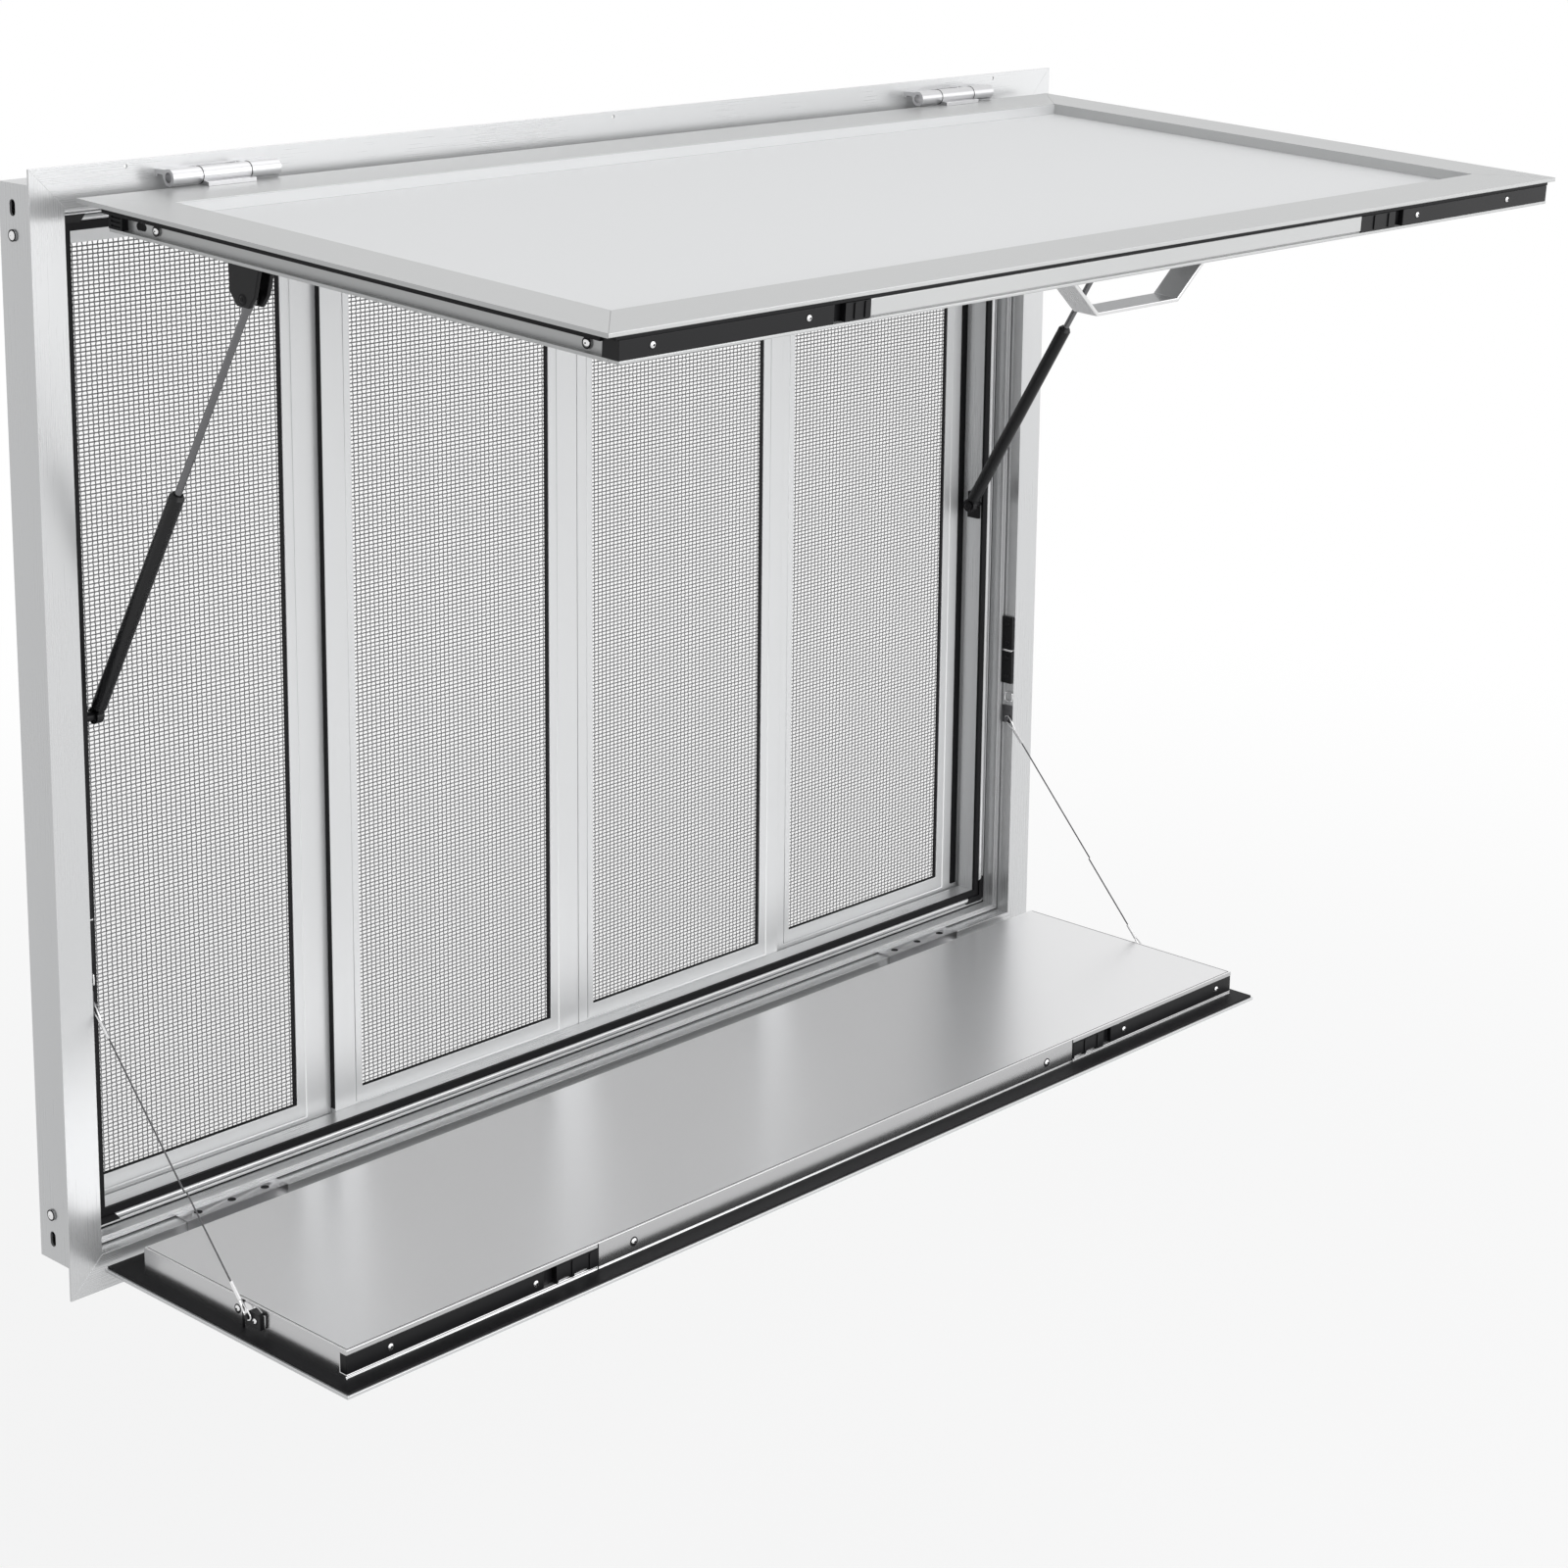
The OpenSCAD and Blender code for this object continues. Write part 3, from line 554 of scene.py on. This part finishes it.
def corner_keys():
    """Black corner keys where the bead rails meet."""
    shape = bmesh.new()
    key = [(43.2, 45.2), (45.2, 43.2), (70, 43.2), (65, 49.4), (49.4, 49.4), (49.4, 65),
           (43.2, 70)]
    for flip_x in (False, True):
        for flip_z in (False, True):
            outline = [(LEFT + (WIDTH - a if flip_x else a), BOTTOM + (HEIGHT - b if flip_z else b))
                       for a, b in key]
            add_prism(shape, outline, 24.4, 29.4)
    new_piece("bead_corner_keys", shape, plastic, "frame")


def screen_linings():
    """Black strips at the right and bottom of each opening and on the fourth screen; painted shade
    beside the second screen and between the middle screens.
    """
    shape = bmesh.new()
    for number in SCREENS:
        low, high = box_mm(f"screen_mesh_{number}")
        front, back = low.y - 1.0, low.y + 0.2
        add_prism(shape, box_outline(high.x - 3.6, high.x, low.z, high.z), front, back)
        add_prism(shape, box_outline(low.x, high.x - 3.6, low.z, low.z + 1.8), front, back)
    low, high = box_mm("screen_frame_2")
    # painted shade on the left side face of the second screen
    add_prism(shape, box_outline(low.x - 1.0, low.x, low.z + 8, high.z - 8), low.y + 0.4,
              high.y - 0.3)
    gap_start, gap_end = high.x, box_mm("screen_frame_3")[0].x
    low, high = box_mm("screen_frame_4")
    add_prism(shape, box_outline(high.x - 12.5, high.x - 4.5, low.z + 8, high.z - 8),
              low.y - 1.4, low.y)
    # painted shade in the gap between the two middle screens
    add_prism(shape, box_outline(gap_start, gap_end, low.z + 2, high.z - 2), low.y - 5.2,
              low.y - 2.4)
    new_piece("screen_linings", shape, black_seals_and_shade, "frame")


def add_frame_line(shape, inset0, inset1, front, back):
    """A rectangular line round the frame, between these insets."""
    for a, b in ((inset0, inset1), (HEIGHT - inset1, HEIGHT - inset0)):
        add_prism(shape, box_outline(LEFT + inset0, LEFT + WIDTH - inset0, BOTTOM + a, BOTTOM + b),
                  front, back)
    for a, b in ((inset0, inset1), (WIDTH - inset1, WIDTH - inset0)):
        add_prism(shape, box_outline(LEFT + a, LEFT + b, BOTTOM + inset1, BOTTOM + HEIGHT - inset1),
                  front, back)


# Black strips round the frame along the steps of its face, in the rubber finish: painted shadow
# lines.
def frame_shadow_gaps():
    shape = bmesh.new()
    add_frame_line(shape, 32.0, 32.9, 14.2, 15.0)
    add_frame_line(shape, 38.0, 39.0, 28.2, 29.0)
    add_frame_line(shape, 43.4, 44.2, 28.0, 29.0)
    new_piece("frame_shadow_gaps", shape, black_seals_and_shade, "frame")


def shelf_seams():
    """Seams along the top of the shelf, and at both ends of its front strip."""
    shape = bmesh.new()
    heights = (SHELF_TOP - 0.3, SHELF_TOP + 0.06)
    for flip, strip_end in ((1, 314), (-1, 947.5)):
        add_prism(shape, box_outline(inset(45.8, flip), inset(46.4, flip), *heights), -303.6, -47)
        edge = inset(strip_end)
        add_prism(shape, box_outline(edge - 0.4, edge + 0.4, 14.6, SHELF_TOP - 0.6),
                  -305.8, -305.2)
    add_prism(shape, box_outline(inset(46), inset(46, -1), *heights), -303.8, -303.2)
    new_piece("shelf_seams", shape, black_seals_and_shade, "shelf")


# Black ovals just inside the slots in the awning's sides: painted shade in the slots.
def awning_side_slots():
    shape = bmesh.new()
    wall = inset(AWNING_INSET + 17.4)
    radius, reach = 2.7, 3.5
    for flip in FLIPS:
        for centre in (-63, -580):
            outline = [(centre + end * reach + radius * math.cos(turn),
                        AWNING_SLOT_Z + radius * math.sin(turn))
                       for end in (1, -1)
                       for turn in (math.radians(t - 90 * end) for t in range(0, 181, 30))]
            add_prism(shape, outline, flip * (wall + 0.4), flip * (wall + 1.4), axis="X")
    new_piece("awning_side_slots", shape, black_seals_and_shade, "awning", AWNING)


# Black discs in the screw holes of the shelf hinges' wall leaves: painted shade in the holes.
def shelf_hinge_holes():
    shape = bmesh.new()
    for flip in FLIPS:
        for distance in (137, 173, 209):
            add_prism(shape, round_outline(inset(distance, flip), 5.5, 3.7, 20),
                      BOTTOM + 32.9, BOTTOM + 33.35, axis="Z")
    new_piece("shelf_hinge_holes", shape, black_seals_and_shade, "frame")


def knuckle_painted_shade_rings():
    """Dark rings between the knuckles of the top hinges: painted shade in the joints."""
    shape = bmesh.new()
    for flip in FLIPS:
        for distance in (148.75, 197.25):
            ring = [(inset(distance, flip), y, z) for y, z in round_outline(*HINGE_PIN, 6.95, 28)]
            add_tube(shape, ring, 0.45, 6, closed=True)
    smooth(new_piece("hinge_knuckle_rings", shape, black_seals_and_shade, "frame"))


def awning_back_bead():
    """Painted highlight: a bright strip along the back of the awning's recess."""
    shape = bmesh.new()
    end = AWNING_INSET + 54
    add_prism(shape, box_outline(inset(end), inset(end, -1), -17.4, -8.4), -57.9, -57.05)
    new_piece("awning_back_bead", shape, painted_highlight_aluminium, "awning", AWNING)


def keeper_gaps():
    """Painted highlight: a bright strip between the two blocks of each keeper."""
    shape = bmesh.new()
    for flip in FLIPS:
        add_prism(shape, box_outline(inset(JAMB_INSET, flip), inset(35.9, flip), BOTTOM + 324.6,
                                     BOTTOM + 326.4), -0.6, 12.6)
    new_piece("keeper_gaps", shape, bright_steel, "frame")


for fitting in (corner_keys, screen_linings, frame_shadow_gaps, shelf_seams, awning_side_slots,
                shelf_hinge_holes, knuckle_painted_shade_rings, awning_back_bead, keeper_gaps):
    fitting()


# Dome screws and pins, set on points that say where each faces and how large it is
def fastener_tree():
    tree, start, end = geometry_tree("fasteners", Dome_Height="Float", Recess_Share="Float",
                                     Head_Material="Material", Recess_Material="Material")
    given = start.outputs
    facing = node(tree, "GeometryNodeInputNamedAttribute", data_type="FLOAT_VECTOR")
    facing.inputs["Name"].default_value = "facing"
    size = node(tree, "GeometryNodeInputNamedAttribute", data_type="FLOAT")
    size.inputs["Name"].default_value = "size"
    turn = linked(tree, "FunctionNodeAlignRotationToVector",
                  {"Vector": facing.outputs["Attribute"]}, axis="Z")

    ball = linked(tree, "GeometryNodeMeshUVSphere", {}, "Mesh", Segments=20, Rings=10, Radius=1.0)
    squash = linked(tree, "ShaderNodeCombineXYZ", {"Z": given["Dome Height"]}, X=1.0, Y=1.0)
    dome = linked(tree, "GeometryNodeTransform", {"Geometry": ball, "Scale": squash})
    # painted shade: a flat black hexagon on top of the dome stands for the head's recess
    disc = linked(tree, "GeometryNodeMeshCylinder", {"Radius": given["Recess Share"]}, "Mesh",
                  Vertices=6, Depth=0.1)
    lift = vector_along(tree, "Z", given["Dome Height"])
    recess = linked(tree, "GeometryNodeTransform", {"Geometry": disc, "Translation": lift})
    # painted shade: a flat black ring round the foot of each head
    ring = linked(tree, "GeometryNodeMeshCylinder", {}, "Mesh", Vertices=20, Radius=1.26,
                  Depth=0.12)

    whole = tree.nodes.new("GeometryNodeJoinGeometry")
    for piece, material in ((ring, "Recess Material"), (dome, "Head Material"),
                            (recess, "Recess Material")):
        tree.links.new(painted(tree, piece, given[material]), whole.inputs[0])
    put = copies_on(tree, given["Geometry"], whole.outputs[0], Rotation=turn,
                    Scale=size.outputs["Attribute"])
    tree.links.new(made_real(tree, put), end.inputs[0])
    return tree


FASTENERS = fastener_tree()


def fasteners(name, body, heads, head_mat=bright_steel, place=None, dome=0.5, recess=0.34):
    """Heads are given as place, facing and radius. Dome and recess are shares of the radius."""
    points = bpy.data.meshes.new(name + "_points")
    points.from_pydata([Vector(spot) * MM for spot, facing, radius in heads], [], [])
    points.attributes.new("facing", "FLOAT_VECTOR", "POINT")
    points.attributes.new("size", "FLOAT", "POINT")
    for i, (spot, facing, radius) in enumerate(heads):
        points.attributes["facing"].data[i].vector = facing
        points.attributes["size"].data[i].value = radius * MM
    made = grown(name, FASTENERS, points, dome_height=dome, recess_share=recess,
                 head_material=head_mat, recess_material=black_seals_and_shade)
    if place:
        made.data.transform(place)
    smooth(made, 50)
    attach(made, body)


FRONT = (0, -1, 0)


def screws_and_pins():
    low, high = box_mm("shelf_latch_bar_left")
    middle = (low.z + high.z) / 2
    fasteners("shelf_front_screws", "shelf",
              [((inset(x), low.y, middle), FRONT, 2.9) for x in (89, 244, 1029, 1182)]
              + [((inset(x), low.y - 0.4, middle), FRONT, 3.4) for x in (355.5, 908)])
    fasteners("awning_front_screws", "awning",
              [((inset(x), AWNING_FACE, -20.5), FRONT, 2.6) for x in (72.5, 226, 997, 1142)],
              place=AWNING)
    fasteners("side_rivets", "frame",
              [((inset(14.6, flip), 45, BOTTOM + z), (-flip, 0, 0), 3.9)
               for flip in FLIPS for z in (57.5, 885.5)], dome=0.35, recess=0.05)
    fasteners("awning_side_pins", "awning",
              [((inset(45.6, flip), y, AWNING_SLOT_Z), (-flip, 0, 0), 3.3)
               for flip in FLIPS for y in (-83, -559)], place=AWNING, dome=0.35, recess=0.2)
    fasteners("keeper_screws", "frame",
              [((inset(35.4, flip), 5.2, BOTTOM + z), (flip, 0, 0), 2.4)
               for flip in FLIPS for z in (297, 317, 334, 354)], head_mat=plastic)
    fasteners("strut_pins", "frame",
              [((inset(74.4, flip), 33, 477), (flip, 0, 0), 3.2) for flip in FLIPS],
              head_mat=plastic, dome=0.35)
    fasteners("fork_pins", "awning",
              [((inset(distance, flip), -170, -62.2), (facing * flip, 0, 0), 3.6)
               for distance, facing in ((61, -1), (77, 1)) for flip in FLIPS],
              head_mat=plastic, place=AWNING, dome=0.3, recess=0.5)


screws_and_pins()


# Latch slides: finger ribs on the face, and on the shelf a scalloped lower edge over a bright strip
def latch_slide(cad, x0, x1, face, z0, z1, place=None, scallops=False):
    shape = bmesh.new()
    outline = [(x1, z0), (x1, z1), (x0, z1), (x0, z0)]
    ribs = [x0 + 0.38 * (x1 - x0), x0 + 0.80 * (x1 - x0)]
    if scallops:
        for start, end in ((x0 + 1.5, ribs[0] - 1.2), (ribs[0] + 1.2, ribs[1] - 1.2)):
            half = (end - start) / 2
            for turn in (math.radians(degrees) for degrees in range(180, -1, -20)):
                outline.append((start + half + half * math.cos(turn),
                                z0 + 3.4 * math.sin(turn) ** 0.6))
    add_prism(shape, outline, face, face + 5.6)
    for rib in ribs:
        add_prism(shape, [(rib - 1.3, z0 + 1), (rib + 1.3, z0 + 1), (rib + 1.3, z1 - 1.6),
                          (rib + 0.6, z1 - 0.6), (rib - 0.6, z1 - 0.6), (rib - 1.3, z1 - 1.6)],
                  face - 1, face + 1)
    ribbed = new_piece(cad + "_ribbed", shape, plastic, BODY_OF[cad], place)
    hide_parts(cad)
    if scallops:
        shape = bmesh.new()
        add_prism(shape, box_outline(x0 + 0.5, x1 - 0.5, z0 + 0.1, z0 + 3.6), face + 2.4,
                  face + 4.6)
        new_piece(cad + "_bright_strip", shape, bright_steel, BODY_OF[cad], place)


for side, shelf_span, awning_span in (("left", (266, 313.6), (264, 290.6)),
                                      ("right", (948, 995), (912, 963))):
    latch_slide(f"shelf_latch_slider_{side}", *map(inset, shelf_span), -306.3, 20.3, 35.6,
                scallops=True)
    latch_slide(f"awning_latch_slider_{side}", *map(inset, awning_span), AWNING_FACE, -27.7,
                -14.3, place=AWNING)


def stay_catch(side, flip):
    """Catch in the side of the shelf: pin block, dark edge and clip plate. Returns its screws."""
    cad = f"stay_catch_{side}"
    wall = inset(SHELF_INSET)
    shape = bmesh.new()
    add_prism(shape, [(-204, 23), (-204, 34), (-202, 36), (-190, 36), (-186, 32), (-186, 23)],
              flip * (wall - 4.6), flip * wall, axis="X")
    add_prism(shape, box_outline(-178.8, -176.2, 15, 39.6), flip * (wall - 0.9), flip * wall,
              axis="X")
    for radius, out, back in ((1.5, 7.1, 4), (2.2, 7.9, 7)):
        add_prism(shape, round_outline(-190, 31, radius, 16), flip * (wall - out),
                  flip * (wall - back), axis="X")
    block = new_piece(cad + "_block", shape, plastic, "shelf")
    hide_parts(cad)
    shape = bmesh.new()
    add_prism(shape, [(-204.5, 15.4), (-178.8, 15.4), (-178.8, 38.6), (-196, 38.6), (-204.5, 34)],
              flip * (wall - 0.6), flip * wall, axis="X")
    new_piece(cad + "_clip", shape, bright_steel, "shelf")
    outward = (-flip, 0, 0)
    return [((flip * wall, -169.5, 29), outward, 3.2),
            ((flip * (wall - 4.6), -197, 29), outward, 2.6)]


fasteners("stay_catch_screws", "shelf",
          stay_catch("left", 1) + stay_catch("right", -1))


def jamb_hooks():
    """Hooks on the jambs above the stays."""
    shape = bmesh.new()
    for flip in FLIPS:
        out = inset(JAMB_INSET + 1.6, flip)
        loop = [(-1.5, 262), (3, 261), (7.5, 262), (8.2, 266), (7.5, 270), (3, 271), (-1.5, 270),
                (-2.2, 266)]
        add_tube(shape, [(out, y, z) for y, z in loop], 0.8, 8, closed=True)
    smooth(new_piece("jamb_hooks", shape, bright_steel, "frame"))


jamb_hooks()


# Stays: a rope of six twisted strands, with a pressed sleeve and a loop of wire at its eye
def rope_tree():
    tree, start, end = geometry_tree(
        "twisted_rope", Length="Float", Turns="Float", Lay_Radius="Float", Strand_Radius="Float",
        Strands="Int", Material="Material")
    given = start.outputs
    helix = linked(tree, "GeometryNodeCurveSpiral", {
        "Rotations": given["Turns"], "Start Radius": given["Lay Radius"],
        "End Radius": given["Lay Radius"], "Height": given["Length"]}, Resolution=10)
    circle = linked(tree, "GeometryNodeCurvePrimitiveCircle", {"Radius": given["Strand Radius"]},
                    Resolution=6)
    strand = wire_along(tree, helix, circle, Fill_Caps=True)
    spots = linked(tree, "GeometryNodeMeshLine", {"Count": given["Strands"]}, mode="OFFSET",
                   Offset=(0, 0, 0))
    index = tree.nodes.new("GeometryNodeInputIndex")
    step = sum_node(tree, "DIVIDE", 2 * math.pi, given["Strands"])
    angle = sum_node(tree, "MULTIPLY", index.outputs[0], step)
    put = copies_on(tree, spots, strand, Rotation=vector_along(tree, "Z", angle))
    tree.links.new(painted(tree, made_real(tree, put), given["Material"]), end.inputs[0])
    return tree


ROPE = rope_tree()
# Each is X from the flange's edge, Y and Z
STAY_TOP = Vector((35, 3, 242)) * MM
STAY_FOOT = Vector((38.5, -190, 31)) * MM
STAY_SWAY = 0.88 * MM
SLEEVE_START = 15.8 * MM
EYE_LENGTH = 16 * MM
STRAND_LAY = 7 * MM


def stay_part(cad, foot, head, share, sway):
    """One part of a stay, from its eye towards the other eye, for this share of the way."""
    flip = -1 if cad.endswith("right") else 1
    origin = Vector((flip * (cad_low.x + foot.x), foot.y, foot.z))
    target = Vector((flip * (cad_low.x + head.x), head.y, head.z))
    whole = target - origin
    level = Vector((0, whole.y, whole.z))
    length = level.length * share
    along = (level.normalized() * length + Vector((flip * sway, 0, 0))).normalized()
    across = Vector((1, 0, 0))
    across = (across - along * across.dot(along)).normalized()
    place = (Matrix.Translation(origin)
             @ Matrix((across, along.cross(across), along)).transposed().to_4x4())
    rope_length = length - EYE_LENGTH
    rope = grown(cad + "_rope", ROPE, length=rope_length, turns=rope_length / STRAND_LAY,
                 lay_radius=0.5 * MM, strand_radius=0.27 * MM, strands=6, material=rope_steel)
    rope.data.transform(place @ Matrix.Translation((0, 0, SLEEVE_START)))
    smooth(rope, 70)
    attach(rope, BODY_OF[cad])
    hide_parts(cad)
    # loop of wire round the pin, drawn out to a point in the sleeve
    shape = bmesh.new()
    loop = [(0, 3.0 * math.cos(turn), -3.0 * math.sin(turn))
            for turn in (math.radians(degrees) for degrees in range(0, 181, 15))]
    loop += [(0, -2.6, 6.0), (0, -1.6, 12.0), (0, -0.55, 16.5)]
    loop += [(0, 0.55, 16.5), (0, 1.6, 12.0), (0, 2.6, 6.0)]
    add_tube(shape, loop, 0.75, 8, closed=True)
    add_tube(shape, [(0, 0, 15.2), (0, 0, 16.0), (0, 0, 30.5), (0, 0, 31.3)], 1.7, 12)
    smooth(new_piece(cad + "_eye", shape, bright_steel, BODY_OF[cad], place))


for side in ("left", "right"):
    stay_part(f"stay_upper_{side}", STAY_TOP, STAY_FOOT, 0.608, STAY_SWAY)
    stay_part(f"stay_lower_{side}", STAY_FOOT, STAY_TOP, 0.392, -STAY_SWAY)


# Stage
SKY_LEVEL = 0.42
SKY_COLOUR = (0.97, 0.985, 1.0, 1)
WHITE = (1, 1, 1, 1)
FLOOR_GREY = (0.8, 0.8, 0.8, 1)
FLOOR_HALF = 60.0
FLOOR_DROP = 0.55


def plain_light(name, size, power, place, target):
    lamp = bpy.data.lights.new(name, "AREA")
    lamp.shape = "RECTANGLE"
    lamp.size, lamp.size_y = size
    lamp.energy = power
    obj = bpy.data.objects.new(name, lamp)
    obj.location = place
    obj.rotation_mode = "QUATERNION"
    obj.rotation_quaternion = (Vector(target) - Vector(place)).to_track_quat("-Z", "Y")
    scene.collection.objects.link(obj)


def sees_background(tree):
    """1 for rays of the camera, of reflections and of glass, which all see the white background."""
    path = tree.nodes.new("ShaderNodeLightPath").outputs
    seen = sum_node(tree, "MAXIMUM", path["Is Camera Ray"], path["Is Glossy Ray"])
    return sum_node(tree, "MAXIMUM", seen, path["Is Transmission Ray"])


def mixed_shaders(tree, share, near, far, out):
    """Links to the output a mix of two shaders, by this share of the second one."""
    mix = tree.nodes.new("ShaderNodeMixShader")
    for source, socket in ((share, 0), (near.outputs[0], 1), (far.outputs[0], 2)):
        tree.links.new(source, mix.inputs[socket])
    tree.links.new(mix.outputs[0], out.inputs["Surface"])


def make_world():
    world = bpy.data.worlds.new("studio")
    world.use_nodes = True
    tree = world.node_tree
    tree.nodes.clear()
    lit = node(tree, "ShaderNodeBackground", Strength=SKY_LEVEL, Color=SKY_COLOUR)
    seen = node(tree, "ShaderNodeBackground", Strength=1.0, Color=WHITE)
    mixed_shaders(tree, sees_background(tree), lit, seen, tree.nodes.new("ShaderNodeOutputWorld"))
    scene.world = world


def make_floor():
    mesh = bpy.data.meshes.new("floor")
    half, level = FLOOR_HALF, cad_low.z - FLOOR_DROP
    mesh.from_pydata([(-half, -half, level), (half, -half, level), (half, half, level),
                      (-half, half, level)], [], [(0, 1, 2, 3)])
    floor = bpy.data.objects.new("floor", mesh)
    scene.collection.objects.link(floor)
    mat = new_material("pale_floor")
    tree = mat.node_tree
    paint = node(tree, "ShaderNodeBsdfDiffuse", Color=FLOOR_GREY)
    white = node(tree, "ShaderNodeEmission", Color=WHITE, Strength=1.0)
    # a soft shadow shows near the window and plain white farther out
    place = tree.nodes.new("ShaderNodeTexCoord")
    flat = node(tree, "ShaderNodeVectorMath", operation="MULTIPLY")
    flat.inputs[1].default_value = (1, 1, 0)
    tree.links.new(place.outputs["Object"], flat.inputs[0])
    away = linked(tree, "ShaderNodeVectorMath", {0: flat.outputs[0]}, "Value",
                  operation="LENGTH")
    fade = node(tree, "ShaderNodeMapRange", interpolation_type="SMOOTHSTEP", From_Min=1.0,
                From_Max=4.0, To_Min=0.82, To_Max=1.0)
    tree.links.new(away, fade.inputs["Value"])
    share = sum_node(tree, "MULTIPLY", fade.outputs[0], sees_background(tree))
    mixed_shaders(tree, share, paint, white, tree.nodes.new("ShaderNodeOutputMaterial"))
    mesh.materials.append(mat)


scene.view_settings.view_transform = "Standard"
make_world()
make_floor()
MIDDLE = (0, -0.2, 0.45)
plain_light("key", (5.4, 3.8), 132, (0.5, -4.2, 1.8), MIDDLE)
plain_light("fill", (3.2, 2.6), 16, (3.4, -2.6, 1.4), MIDDLE)
plain_light("top", (4.2, 3.2), 28, (0.2, -0.6, 3.4), (0, -0.3, 0.45))
